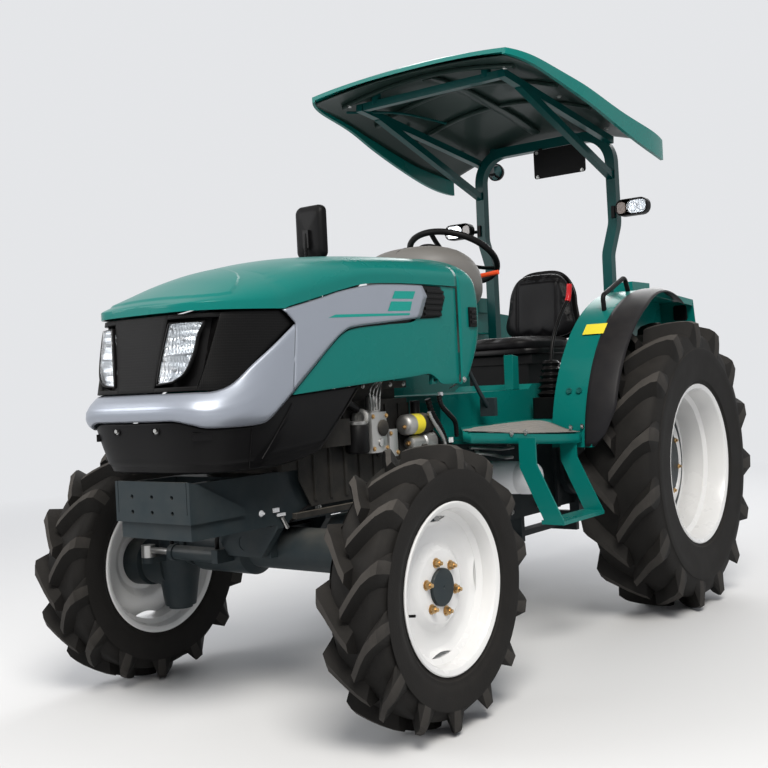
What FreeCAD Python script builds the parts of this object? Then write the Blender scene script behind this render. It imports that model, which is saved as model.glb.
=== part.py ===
import FreeCAD, Part
import math
import os

os.makedirs("parts", exist_ok=True)

# Compact four-wheel-drive tractor with a two-post roll bar and a sun canopy.
# Millimetres. The model is drawn with +X to the tractor's left, +Y rearwards and +Z up, with
# Y = 0 at the rear axle, and export() moves it so that the box of the whole tractor is centred.

# ---- driving dimensions: whole vehicle
WHEELBASE = 2050.0
FRONT_AXLE_Y = -WHEELBASE
FRONT_OVERHANG = 690.0
REAR_OVERHANG = 950.0
PANEL_GAP = 4.0
RUNNING_FIT = 0.05
SEAT_GAP = 0.3

# ---- wheels
REAR_TYRE_RADIUS = 673.0
REAR_TYRE_WIDTH = 345.0
REAR_FLANGE_RADIUS = 374.0
REAR_FLANGE_X = 838.0
REAR_RIM_WIDTH = 308.0
REAR_HUB_RADIUS = 140.0
REAR_DISC_DEPTH = 190.0
FRONT_TYRE_RADIUS = 460.0
FRONT_TYRE_WIDTH = 222.0
FRONT_FLANGE_RADIUS = 276.0
FRONT_FLANGE_X = 788.0
FRONT_RIM_WIDTH = 196.0
FRONT_HUB_RADIUS = 63.0
FRONT_DISC_DEPTH = 58.0
FLANGE_HEIGHT = 20.0
RIM_WALL = 8.0
FRONT_TYRE_PROUD = 12.0
REAR_TYRE_PROUD = 20.0
HUB_SPINDLE_SHARE = 0.45
REAR_AXLE_FLANGE_X = REAR_FLANGE_X - REAR_DISC_DEPTH - 88.0

# ---- front frame and front axle
FRAME_HALF_WIDTH = 165.0
FRAME_BOTTOM_Z = 655.0
FRAME_TOP_Z = 835.0
FRAME_WALL = 28.0
FRAME_FRONT_Y = FRONT_AXLE_Y - 538.0
BRACKET_PLATE = 12.0
BRACKET_BOTTOM_Z = 709.0
BRACKET_TOP_Z = 842.0
BRACKET_HOLE_RADIUS = 7.0
BRACKET_HOLE_SPACING_X = 95.0
BRACKET_HOLE_SPACING_Z = 50.0
BRACKET_GUSSET_REACH = 240.0
AXLE_BEAM_Z = 550.0
AXLE_BEAM_RADIUS = 76.0
AXLE_PIN_Z = 584.0
AXLE_PIN_RADIUS = 26.0
SADDLE_HALF_GAP = 112.0
SADDLE_THICK = 30.0
KINGPIN_X = 500.0
BEAM_HALF_LENGTH = KINGPIN_X - 105.0
GEAR_CASE_X = BEAM_HALF_LENGTH - 55.0
KINGPIN_RADIUS = 36.0
KINGPIN_LENGTH = 70.0
KNUCKLE_TOP_Z = 506.0
KNUCKLE_BOTTOM_Z = 300.0
HUB_CASE_LENGTH = 120.0
STEER_PIN_RADIUS = 11.0
ROD_EYE_RADIUS = 26.0
STEER_ARM_THICK = 22.0
STEER_ARM = 150.0
DRIVE_SHAFT_X = -FRAME_HALF_WIDTH - 50.0
AXLE_NOSE_REACH = 165.0
TRANSFER_FRONT_Y = -980.0
TIE_ROD_Z = 470.0
TIE_ROD_RADIUS = 14.0
CYLINDER_Z = 534.0
CYLINDER_RADIUS = 27.0
CYLINDER_INNER_X = 37.0 - FRAME_HALF_WIDTH
CYLINDER_OUTER_X = 135.0 - KINGPIN_X
PISTON_ROD_RADIUS = 12.0

# ---- engine, gearbox and rear axle
ENGINE_FRONT_Y = FRONT_AXLE_Y - 130.0
ENGINE_HALF_WIDTH = 185.0
SUMP_BOTTOM_Z = 650.0
CLUTCH_Y = FRONT_AXLE_Y + 630.0
GEARBOX_REAR_Y = -170.0
GEARBOX_HALF_WIDTH = 165.0
REAR_CASE_REAR_Y = 220.0
TRUMPET_RADIUS = 82.0
TRUMPET_FLANGE = 34.0
ROCKSHAFT_Y = 120.0
ROCKSHAFT_Z = 960.0
ROCKSHAFT_RADIUS = 32.0
PTO_RADIUS = 17.5
PTO_LENGTH = 76.0
PTO_Z = 600.0
DRAWBAR_Z = 345.0
DRAWBAR_HOLE_RADIUS = 13.5

# ---- three-point hitch
LIFT_ARM_LENGTH = 255.0
LIFT_ARM_X = 212.0
LOWER_PIN_Y = 60.0
LOWER_PIN_Z = 470.0
LOWER_PIN_X = 232.0
LOWER_PIN_RADIUS = 13.0
LIFT_PIN_RADIUS = 11.0
LOWER_BALL_X = 341.0
LOWER_BALL_Z = 545.0
LOWER_BALL_RADIUS = 30.0
LOWER_BALL_BORE = 11.2
LOWER_LUG_SHARE = 0.52
TOP_LINK_Z = 800.0
TOP_LINK_LENGTH = 560.0
TOP_LINK_BORE = 9.7
TOP_LINK_OUT = 34.0
TOP_PIN_RADIUS = 9.5

# ---- bonnet and cowl
AHEAD = -750
BEHIND = 850
SHELL = 14.0
LIP_DEPTH = 26.0
LIP_THICK = 5.0
GRILLE_INSET = 6.0
BAND_PROUD = 10.0
HOOD_HALF_WIDTH = 325.0
HOOD_NOSE_Y = FRONT_AXLE_Y - 618.0
HOOD_NOSE_REACH = 330.0
NOSE_SQUARENESS = 2.6
HOOD_REAR_Y = FRONT_AXLE_Y + 766.0
HOOD_REAR_GAP = 6.0
HINGE_Y = HOOD_REAR_Y + 90.0
HINGE_Z = 1590.0
HINGE_X = 66.0
HINGE_ARM = 9.0
HINGE_PIN = 7.0
COWL_HALF_WIDTH = HOOD_HALF_WIDTH + 25.0
COWL_REAR_Y = HOOD_REAR_Y + 174.0
COWL_FOOT_Z = 1100.0
NOSE_BOTTOM_Z = 862.0

# ---- operator station
FLOOR_Z = 920.0
FLOOR_SHEET = 8.0
FLOOR_SKIRT = 46.0
FLOOR_FRONT_Y = COWL_REAR_Y - 280.0
FLARE_REAR_Y = -745.0
TUNNEL_HALF_WIDTH = 205.0
TUNNEL_TOP_Z = 1060.0
TUNNEL_FRONT_Y = COWL_REAR_Y - 115.0
TUNNEL_REAR_Y = -330.0
SEAT_STEP = 24.0
SEAT_PAN_Z = 1180.0
SEAT_PAN_TOP_Z = 1222.0
SEAT_HALF_WIDTH = 235.0
SEAT_TOP_Z = 1305.0
SEAT_REST_Z = 1290.0
SEAT_FRONT_Y = -440.0
SEAT_BACK_Y = 45.0
SEAT_BACK_TOP_Z = 1668.0
WHEEL_RING_RADIUS = 205.0
WHEEL_RING_TUBE = 15.0
WHEEL_HUB_Y = COWL_REAR_Y + 357.0
WHEEL_HUB_Z = 1680.0
COLUMN_TILT = 30.0
COLUMN_LENGTH = 300.0

# ---- fenders, roll bar and canopy
FENDER_RADIUS = REAR_TYRE_RADIUS + 62.0
FENDER_CENTRE_Z = REAR_TYRE_RADIUS + 100.0
FENDER_INNER_X = REAR_FLANGE_X - 386.0
FENDER_OUTER_X = FENDER_INNER_X + 188.0
FENDER_TRIM_X = FENDER_OUTER_X + 56.0
FENDER_SHEET = 6.0
FENDER_FRONT_Z = 806.0
FENDER_TOP_TURN = 86.0
FENDER_MID_TURN = 128.0
FENDER_REAR_TOP = (520.0, 1474.0)
FENDER_REAR_LOW = (545.0, 1356.0)
ROPS_Y = 165.0
ROPS_TUBE = 50.0
ROPS_LOW_X = 346.0
ROPS_HIGH_X = 388.0
ROPS_TOP_Z = 2330.0
ROPS_BEND = 150.0
STAY_TUBE = 34.0
STAY_FRONT_Y = -883.0
STAY_FRONT_Z = ROPS_TOP_Z + 88.0
CANOPY_SHEET = 16.0
STEP_X = FENDER_INNER_X + 98.0
STEP_FRONT_Y = FLOOR_FRONT_Y + 260.0
STEP_REAR_Y = -776.0
STEP_STRAP = 8.0
GRAB_HANDLE_X = FENDER_INNER_X + 108.0
GRAB_HANDLE_RADIUS = 11.0

V = FreeCAD.Vector
UP = V(0, 0, 1)
ALONG_X = V(1, 0, 0)
ALONG_Y = V(0, 1, 0)
TOTAL_LENGTH = FRONT_OVERHANG + WHEELBASE + REAR_OVERHANG
NOSE_TIP_Y = FRONT_AXLE_Y - FRONT_OVERHANG
FRAME_SHIFT = V(0, TOTAL_LENGTH / 2 - REAR_OVERHANG, 0)


# ---- general shapes
def box(x0, x1, y0, y1, z0, z1):
    return Part.makeBox(x1 - x0, y1 - y0, z1 - z0, V(x0, y0, z0))


def cylinder(radius, start, end):
    """A round bar between two points."""
    axis = end - start
    return Part.makeCylinder(radius, axis.Length, start, axis)


def cone(radius_0, radius_1, start, end):
    axis = end - start
    return Part.makeCone(radius_0, radius_1, axis.Length, start, axis)


def plate_yz(points, x0, x1):
    """A flat outline of (y, z) points, made thick from x0 to x1."""
    wire = Part.makePolygon([V(x0, y, z) for y, z in points] + [V(x0, *points[0])])
    return Part.Face(wire).extrude(V(x1 - x0, 0, 0))


def plate_xz(points, y0, y1):
    wire = Part.makePolygon([V(x, y0, z) for x, z in points] + [V(points[0][0], y0, points[0][1])])
    return Part.Face(wire).extrude(V(0, y1 - y0, 0))


def plate_xy(points, z0, z1):
    wire = Part.makePolygon([V(x, y, z0) for x, y in points] + [V(*points[0], z0)])
    return Part.Face(wire).extrude(V(0, 0, z1 - z0))


def turned(points, axle_y, axle_z):
    """A closed outline of (x, radius) points, turned about an axle that lies along X."""
    wire = Part.makePolygon([V(x, axle_y, axle_z + r) for x, r in points + points[:1]])
    return Part.Face(wire).revolve(V(0, axle_y, axle_z), ALONG_X, 360)


def rounded_path(points, radius):
    """Straight runs through the points, joined by tangent arcs of one radius."""
    edges = []
    last = points[0]
    for before, corner, after in zip(points, points[1:], points[2:]):
        back = (before - corner).normalize()
        on = (after - corner).normalize()
        half = back.getAngle(on) / 2
        reach = radius / math.tan(half)
        start = corner + back * reach
        end = corner + on * reach
        middle = (back + on).normalize()
        top = corner + middle * (radius / math.sin(half) - radius)
        edges.append(Part.LineSegment(last, start).toShape())
        edges.append(Part.Arc(start, top, end).toShape())
        last = end
    edges.append(Part.LineSegment(last, points[-1]).toShape())
    return Part.Wire(edges)


def tube(points, radius, bend):
    """A round bar that follows the points, with rounded bends."""
    path = rounded_path(points, bend)
    ring = Part.Wire(Part.makeCircle(radius, points[0], points[1] - points[0]))
    return path.makePipeShell([ring], True, True)


def square_tube(points, side, bend, across):
    """A square bar that follows the points; across is one of its side directions."""
    path = rounded_path(points, bend)
    along = (points[1] - points[0]).normalize()
    other = along.cross(across).normalize()
    half = side / 2
    signs = [(-1, -1), (1, -1), (1, 1), (-1, 1), (-1, -1)]
    ring = Part.makePolygon([points[0] + across * (a * half) + other * (b * half) for a, b in signs])
    return path.makePipeShell([ring], True, False, 2)


def fuse(first, *others):
    """Join solids into one, with their shared flat faces merged where that stays sound."""
    solid = first.fuse(list(others)) if others else first
    merged = solid.removeSplitter()
    return merged if merged.isValid() else solid


def mirrored(shape):
    return shape.mirror(V(0, 0, 0), ALONG_X)


def side_of(shape, left):
    return shape if left else mirrored(shape)


def export(name, *solids):
    """Write one node's solids, moved into the frame that is centred on the whole tractor."""
    bodies = [solid for shape in solids for solid in shape.Solids]
    whole = Part.makeCompound(bodies) if len(bodies) > 1 else bodies[0]
    whole.translate(FRAME_SHIFT)
    whole.exportStep(f"parts/{name}.step")
    print(f"{name:22s} {len(bodies)} solids  {whole.Volume / 1e6:9.3f} litres")


# ---- wheels
def tyre(radius, width, flange_radius, flange_x, axle_y, rim_width, proud):
    """Envelope of the tyre over its lugs, seated on the rim between the two flanges."""
    outer = flange_x + proud
    inner = outer - width
    bead_radius = flange_radius - FLANGE_HEIGHT + SEAT_GAP
    rim_out = flange_x - RIM_WALL - SEAT_GAP
    rim_in = flange_x - rim_width + RIM_WALL + SEAT_GAP
    crown = radius * 0.975
    shoulder = radius * 0.90
    belly = (flange_radius + radius) / 2
    points = [
        (rim_in, bead_radius), (rim_out, bead_radius), (rim_out, flange_radius + SEAT_GAP),
        (outer, belly - 30), (outer, belly + 30), (outer - width * 0.04, shoulder),
        (outer - width * 0.12, crown), (outer - width * 0.38, radius), (inner + width * 0.38, radius),
        (inner + width * 0.12, crown), (inner + width * 0.04, shoulder),
        (inner, belly + 30), (inner, belly - 30), (rim_in, flange_radius + SEAT_GAP),
    ]
    return turned(points, axle_y, radius)


def rim(flange_radius, flange_x, rim_width, disc_depth, hub_radius, axle_y, axle_z):
    """Barrel, two flanges and a dished disc with a flat hub seat in its middle."""
    bead = flange_radius - FLANGE_HEIGHT
    well = bead - 22
    inner_x = flange_x - rim_width
    disc_x = flange_x - disc_depth
    well_0 = inner_x + rim_width * 0.30
    well_1 = inner_x + rim_width * 0.62
    points = [
        (inner_x, flange_radius), (inner_x + RIM_WALL, flange_radius), (inner_x + RIM_WALL, bead),
        (well_0 - 14, bead - 4), (well_0, well), (well_1, well), (well_1 + 14, bead - 4),
        (flange_x - RIM_WALL, bead), (flange_x - RIM_WALL, flange_radius), (flange_x, flange_radius),
        (flange_x, bead - RIM_WALL), (well_1 + 18, bead - RIM_WALL - 4), (well_1 + 4, well - RIM_WALL),
        (well_0 - 4, well - RIM_WALL), (well_0 - 18, bead - RIM_WALL - 4), (inner_x, bead - RIM_WALL),
    ]
    barrel = turned(points, axle_y, axle_z)
    top = well - RIM_WALL / 2
    seat = hub_radius + 60
    rise = min(34.0, disc_depth * 0.4)
    disc = turned([
        (disc_x - 10, 0), (disc_x, 0), (disc_x, seat), (disc_x - rise, seat + 34),
        (disc_x - rise, top - 26), (disc_x - rise + 18, top), (disc_x - rise - 12, top),
        (disc_x - rise - 12, seat + 30), (disc_x - 12, seat),
        (disc_x - 12, hub_radius * 0.5), (disc_x - 10, hub_radius * 0.5)], axle_y, axle_z)
    return fuse(barrel, disc)


def wheel(side, front, left):
    """Export one wheel's tyre, and its rim with the hub that carries it."""
    radius = FRONT_TYRE_RADIUS if front else REAR_TYRE_RADIUS
    width = FRONT_TYRE_WIDTH if front else REAR_TYRE_WIDTH
    flange_radius = FRONT_FLANGE_RADIUS if front else REAR_FLANGE_RADIUS
    flange_x = FRONT_FLANGE_X if front else REAR_FLANGE_X
    rim_width = FRONT_RIM_WIDTH if front else REAR_RIM_WIDTH
    depth = FRONT_DISC_DEPTH if front else REAR_DISC_DEPTH
    hub_radius = FRONT_HUB_RADIUS if front else REAR_HUB_RADIUS
    axle_y = FRONT_AXLE_Y if front else 0.0
    proud = FRONT_TYRE_PROUD if front else REAR_TYRE_PROUD
    ring = tyre(radius, width, flange_radius, flange_x, axle_y, rim_width, proud)
    export(f"{side}_tyre", side_of(ring, left))
    dish = side_of(rim(flange_radius, flange_x, rim_width, depth, hub_radius, axle_y, radius), left)
    seat_x = flange_x - depth
    inner_face = seat_x - 12
    shaft_x = KINGPIN_X + HUB_CASE_LENGTH if front else REAR_AXLE_FLANGE_X
    flange = cylinder(hub_radius + 52, V(shaft_x + 6, axle_y, radius), V(inner_face, axle_y, radius))
    spindle = cylinder(hub_radius * HUB_SPINDLE_SHARE, V(shaft_x - 20, axle_y, radius),
                       V(inner_face, axle_y, radius))
    export(f"{side}_rim", dish, side_of(fuse(flange, spindle), left))


# ---- front frame, axle and steering
def front_frame():
    """Cast bolster: two side rails and cross members, with saddles for the axle's rocking pin."""
    rear = CLUTCH_Y - 180
    outer = box(-FRAME_HALF_WIDTH, FRAME_HALF_WIDTH, FRAME_FRONT_Y, rear, FRAME_BOTTOM_Z, FRAME_TOP_Z)
    well = box(-FRAME_HALF_WIDTH + FRAME_WALL, FRAME_HALF_WIDTH - FRAME_WALL,
               FRAME_FRONT_Y + FRAME_WALL, rear + 1, FRAME_BOTTOM_Z - 1, FRAME_TOP_Z + 1)
    solid = outer.cut(well)
    for offset in (-SADDLE_HALF_GAP - SADDLE_THICK, SADDLE_HALF_GAP):
        y0 = FRONT_AXLE_Y + offset
        pin = V(0, y0 - 1, AXLE_PIN_Z)
        saddle = plate_xz([
            (-FRAME_HALF_WIDTH, SUMP_BOTTOM_Z - 4), (-FRAME_HALF_WIDTH, FRAME_BOTTOM_Z - 12),
            (-80, AXLE_PIN_Z - 48), (80, AXLE_PIN_Z - 48), (FRAME_HALF_WIDTH, FRAME_BOTTOM_Z - 12),
            (FRAME_HALF_WIDTH, SUMP_BOTTOM_Z - 4)], y0, y0 + SADDLE_THICK)
        for x0 in (-FRAME_HALF_WIDTH, FRAME_HALF_WIDTH - FRAME_WALL):
            saddle = saddle.fuse(box(x0, x0 + FRAME_WALL, y0, y0 + SADDLE_THICK,
                                     SUMP_BOTTOM_Z - 6, FRAME_TOP_Z - 20))
        bore = cylinder(AXLE_PIN_RADIUS + RUNNING_FIT, pin, pin + ALONG_Y * 60)
        solid = solid.fuse(saddle.cut(bore))
    bridge = box(-FRAME_HALF_WIDTH, FRAME_HALF_WIDTH, ENGINE_FRONT_Y - 190, ENGINE_FRONT_Y - 60,
                 FRAME_TOP_Z - 26, FRAME_TOP_Z)
    return fuse(solid, bridge)


def weight_bracket():
    """Front plate for ballast weights, drilled three by two, with a gusset at each end."""
    half = FRAME_HALF_WIDTH - 3
    front = FRAME_FRONT_Y - BRACKET_PLATE
    plate = box(-half, half, front, FRAME_FRONT_Y, BRACKET_BOTTOM_Z, BRACKET_TOP_Z)
    gussets = []
    for x0 in (FRAME_HALF_WIDTH, -FRAME_HALF_WIDTH - BRACKET_PLATE):
        gussets.append(plate_yz([
            (front, BRACKET_BOTTOM_Z), (front, BRACKET_TOP_Z), (front + 40, BRACKET_TOP_Z - 10),
            (front + BRACKET_GUSSET_REACH, BRACKET_BOTTOM_Z + 24),
            (front + BRACKET_GUSSET_REACH, BRACKET_BOTTOM_Z)], x0, x0 + BRACKET_PLATE))
    wings = box(-FRAME_HALF_WIDTH - BRACKET_PLATE, FRAME_HALF_WIDTH + BRACKET_PLATE, front,
                FRAME_FRONT_Y, BRACKET_BOTTOM_Z, BRACKET_BOTTOM_Z + 30)
    bracket = fuse(plate, wings, *gussets)
    middle = (BRACKET_BOTTOM_Z + BRACKET_TOP_Z) / 2 - 8
    for column in (-1, 0, 1):
        for row in (-0.5, 0.5):
            x = column * BRACKET_HOLE_SPACING_X
            z = middle + row * BRACKET_HOLE_SPACING_Z
            hole = cylinder(BRACKET_HOLE_RADIUS, V(x, front - 1, z), V(x, FRAME_FRONT_Y + 1, z))
            bracket = bracket.cut(hole)
    return bracket


def front_axle():
    """Beam with its bevel gear case, a neck and king post at each end, and the rocking pin."""
    r = AXLE_BEAM_RADIUS
    end = BEAM_HALF_LENGTH
    beam = turned([
        (-end, 0), (-end, r + 14), (-end + 24, r + 14), (-end + 24, r), (-GEAR_CASE_X, r),
        (-GEAR_CASE_X + 14, r + 28), (-70, r + 28), (-50, r), (end - 24, r), (end - 24, r + 14),
        (end, r + 14), (end, 0)], FRONT_AXLE_Y, AXLE_BEAM_Z)
    pieces = []
    for side in (1, -1):
        neck_z = AXLE_BEAM_Z + 34
        pieces.append(cylinder(52, V(side * (end - 11), FRONT_AXLE_Y, neck_z),
                               V(side * KINGPIN_X, FRONT_AXLE_Y, neck_z)))
        post = V(side * KINGPIN_X, FRONT_AXLE_Y, KNUCKLE_TOP_Z + SEAT_GAP)
        pieces.append(cylinder(KINGPIN_RADIUS, post - UP * KINGPIN_LENGTH, post + UP))
        pieces.append(cylinder(74, post, post + UP * 128))
        pieces.append(cylinder(40, post + UP * 120, post + UP * 146))
    nose = cylinder(62, V(DRIVE_SHAFT_X, FRONT_AXLE_Y, AXLE_BEAM_Z),
                    V(DRIVE_SHAFT_X, FRONT_AXLE_Y + AXLE_NOSE_REACH, AXLE_BEAM_Z))
    reach = SADDLE_HALF_GAP + SADDLE_THICK - 2
    pin = cylinder(AXLE_PIN_RADIUS, V(0, FRONT_AXLE_Y - reach, AXLE_PIN_Z),
                   V(0, FRONT_AXLE_Y + reach, AXLE_PIN_Z))
    gap = SADDLE_HALF_GAP - 4
    saddle = box(-95, 95, FRONT_AXLE_Y - gap, FRONT_AXLE_Y + gap, AXLE_BEAM_Z - 20, AXLE_PIN_Z + 44)
    lug_y = FRONT_AXLE_Y - STEER_ARM
    lug = box(CYLINDER_INNER_X, CYLINDER_INNER_X + 30, lug_y - 30, FRONT_AXLE_Y - 40,
              CYLINDER_Z - 24, CYLINDER_Z + 24)
    return fuse(beam, nose, pin, saddle, lug, *pieces)


def knuckle(left):
    """Tapered final-drive case that swings about the king post and carries the wheel's hub case."""
    foot = V(KINGPIN_X, FRONT_AXLE_Y, KNUCKLE_BOTTOM_Z)
    post = V(KINGPIN_X, FRONT_AXLE_Y, KNUCKLE_TOP_Z)
    case = cone(60, 92, foot, V(KINGPIN_X, FRONT_AXLE_Y, KNUCKLE_TOP_Z))
    cap = cylinder(46, foot - UP * 12, foot)
    centre = V(KINGPIN_X, FRONT_AXLE_Y, FRONT_TYRE_RADIUS)
    hub_case = cone(96, 86, centre, centre + ALONG_X * HUB_CASE_LENGTH)
    top_cut = box(0, 900, FRONT_AXLE_Y - 300, FRONT_AXLE_Y + 300, KNUCKLE_TOP_Z, KNUCKLE_TOP_Z + 200)
    arm_z = TIE_ROD_Z - 42
    eye = ROD_EYE_RADIUS
    thick = STEER_ARM_THICK
    arm = box(KINGPIN_X - eye, KINGPIN_X + eye, FRONT_AXLE_Y, FRONT_AXLE_Y + STEER_ARM, arm_z, arm_z + thick)
    end = V(KINGPIN_X, FRONT_AXLE_Y + STEER_ARM, arm_z)
    arm_end = cylinder(eye, end, end + UP * thick)
    pin = cylinder(STEER_PIN_RADIUS, end, V(end.x, end.y, TIE_ROD_Z + 20))
    parts = [hub_case.cut(top_cut), cap, arm, arm_end, pin]
    if not left:
        front_z = KNUCKLE_TOP_Z - thick
        tip = V(KINGPIN_X, FRONT_AXLE_Y - STEER_ARM, front_z)
        parts.append(box(KINGPIN_X - eye, KINGPIN_X + eye, tip.y, FRONT_AXLE_Y, front_z, front_z + thick))
        parts.append(cylinder(eye, tip, tip + UP * thick))
    face = centre + ALONG_X * (HUB_CASE_LENGTH + 1)
    bore = cylinder(FRONT_HUB_RADIUS * HUB_SPINDLE_SHARE + RUNNING_FIT, face - ALONG_X * 27, face)
    king_bore = cylinder(KINGPIN_RADIUS + RUNNING_FIT, post - UP * (KINGPIN_LENGTH + 2), post + UP)
    return side_of(fuse(case, *parts).cut(bore).cut(king_bore), left)


def tie_rod():
    """Bar behind the axle whose eyes turn on the two rear steering arms' pins."""
    y = FRONT_AXLE_Y + STEER_ARM
    bar = cylinder(TIE_ROD_RADIUS, V(-KINGPIN_X, y, TIE_ROD_Z), V(KINGPIN_X, y, TIE_ROD_Z))
    for side in (1, -1):
        low = V(side * KINGPIN_X, y, TIE_ROD_Z - 18)
        bar = bar.fuse(cylinder(ROD_EYE_RADIUS, low, low + UP * 36))
        bar = bar.cut(cylinder(STEER_PIN_RADIUS + RUNNING_FIT, low - UP, low + UP * 40))
    return bar.removeSplitter()


def steering_cylinder():
    """Barrel in front of the axle, bored for the rod that pushes the right steering arm."""
    y = FRONT_AXLE_Y - STEER_ARM
    inner = V(CYLINDER_INNER_X, y, CYLINDER_Z)
    outer = V(CYLINDER_OUTER_X, y, CYLINDER_Z)
    barrel = cylinder(CYLINDER_RADIUS, inner, outer)
    gland = cylinder(CYLINDER_RADIUS + 4, outer + ALONG_X * 24, outer)
    bore = cylinder(PISTON_ROD_RADIUS + RUNNING_FIT, outer + ALONG_X * 220, outer - ALONG_X)
    return fuse(barrel, gland).cut(bore)


def steering_rod():
    """Piston rod with its ball-joint eye over the right steering arm's tip."""
    y = FRONT_AXLE_Y - STEER_ARM
    eye = V(-KINGPIN_X, y, KNUCKLE_TOP_Z + SEAT_GAP)
    rod = cylinder(PISTON_ROD_RADIUS, V(CYLINDER_OUTER_X + 110, y, CYLINDER_Z), V(-KINGPIN_X, y, CYLINDER_Z))
    return fuse(rod, cylinder(ROD_EYE_RADIUS, eye, eye + UP * 46))


# ---- engine and driveline
def engine():
    """One plain block: sump, crankcase and cylinder head, seated between the frame's rails."""
    rail = FRAME_HALF_WIDTH - FRAME_WALL - 4
    half = ENGINE_HALF_WIDTH
    sump = box(-rail, rail, ENGINE_FRONT_Y + 240, CLUTCH_Y, SUMP_BOTTOM_Z, 790)
    case = box(-half, half, ENGINE_FRONT_Y, CLUTCH_Y, FRAME_TOP_Z, 1040)
    neck = box(-rail, rail, ENGINE_FRONT_Y, CLUTCH_Y, 780, FRAME_TOP_Z)
    head = box(-140, 140, ENGINE_FRONT_Y + 20, CLUTCH_Y - 30, 1040, 1200)
    cover = box(-75, 75, ENGINE_FRONT_Y + 50, CLUTCH_Y - 60, 1200, 1262)
    return fuse(sump, case, neck, head, cover)


def engine_side_parts():
    """Starter, filters, injection pump and alternator, and the silencer on the right side."""
    wall = ENGINE_HALF_WIDTH
    starter = fuse(cylinder(52, V(wall + 52, CLUTCH_Y - 150, 985), V(wall + 52, CLUTCH_Y + 60, 985)),
                   cylinder(30, V(wall + 40, CLUTCH_Y - 120, 905), V(wall + 40, CLUTCH_Y, 905)),
                   box(wall, wall + 40, CLUTCH_Y - 60, CLUTCH_Y - 20, 880, 1010))
    filter_y = ENGINE_FRONT_Y + 420
    oil_filter = fuse(cylinder(44, V(wall + 50, filter_y, 868), V(wall + 50, filter_y, 985)),
                      box(wall, wall + 70, filter_y - 34, filter_y + 34, 985, 1030))
    pump_y = ENGINE_FRONT_Y + 230
    pump = fuse(box(wall, wall + 78, pump_y - 90, pump_y + 90, 900, 1010),
                cylinder(36, V(wall + 40, pump_y + 90, 955), V(wall + 40, pump_y + 130, 955)))
    x = -wall - 62
    pipe_y = CLUTCH_Y - 110
    silencer = fuse(cylinder(54, V(x, ENGINE_FRONT_Y + 190, 1110), V(x, CLUTCH_Y - 70, 1110)),
                    box(x, -140, ENGINE_FRONT_Y + 300, ENGINE_FRONT_Y + 360, 1080, 1130),
                    tube([V(x, pipe_y, 1110), V(x, pipe_y, 800), V(x - 110, pipe_y, 700)], 22, 50))
    return [starter, oil_filter, pump, silencer]


def radiator():
    """Cooler block on the frame's bridge, ahead of the engine."""
    y0 = ENGINE_FRONT_Y - 180
    core = box(-232, 232, y0, y0 + 70, FRAME_TOP_Z, 1290)
    shroud = box(-200, 200, y0 + 70, y0 + 120, FRAME_TOP_Z + 40, 1250)
    return fuse(core, shroud)


def gearbox():
    """Clutch housing and gearbox in one long casting."""
    w = GEARBOX_HALF_WIDTH
    bell = cone(215, 190, V(0, CLUTCH_Y, 800), V(0, CLUTCH_Y + 150, 790))
    trim = box(-205, 205, CLUTCH_Y, CLUTCH_Y + 151, 640, 985)
    case = box(-w, w, CLUTCH_Y + 140, GEARBOX_REAR_Y, 500, 850)
    belly = box(-w + 30, w - 30, CLUTCH_Y + 260, GEARBOX_REAR_Y, 455, 500)
    transfer = box(DRIVE_SHAFT_X - 52, -w + 20, TRANSFER_FRONT_Y, TRANSFER_FRONT_Y + 260, 470, 640)
    flange = box(-w - 18, w + 18, GEARBOX_REAR_Y - 26, GEARBOX_REAR_Y, 470, 870)
    return fuse(bell.common(trim), case, belly, transfer, flange)


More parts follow.
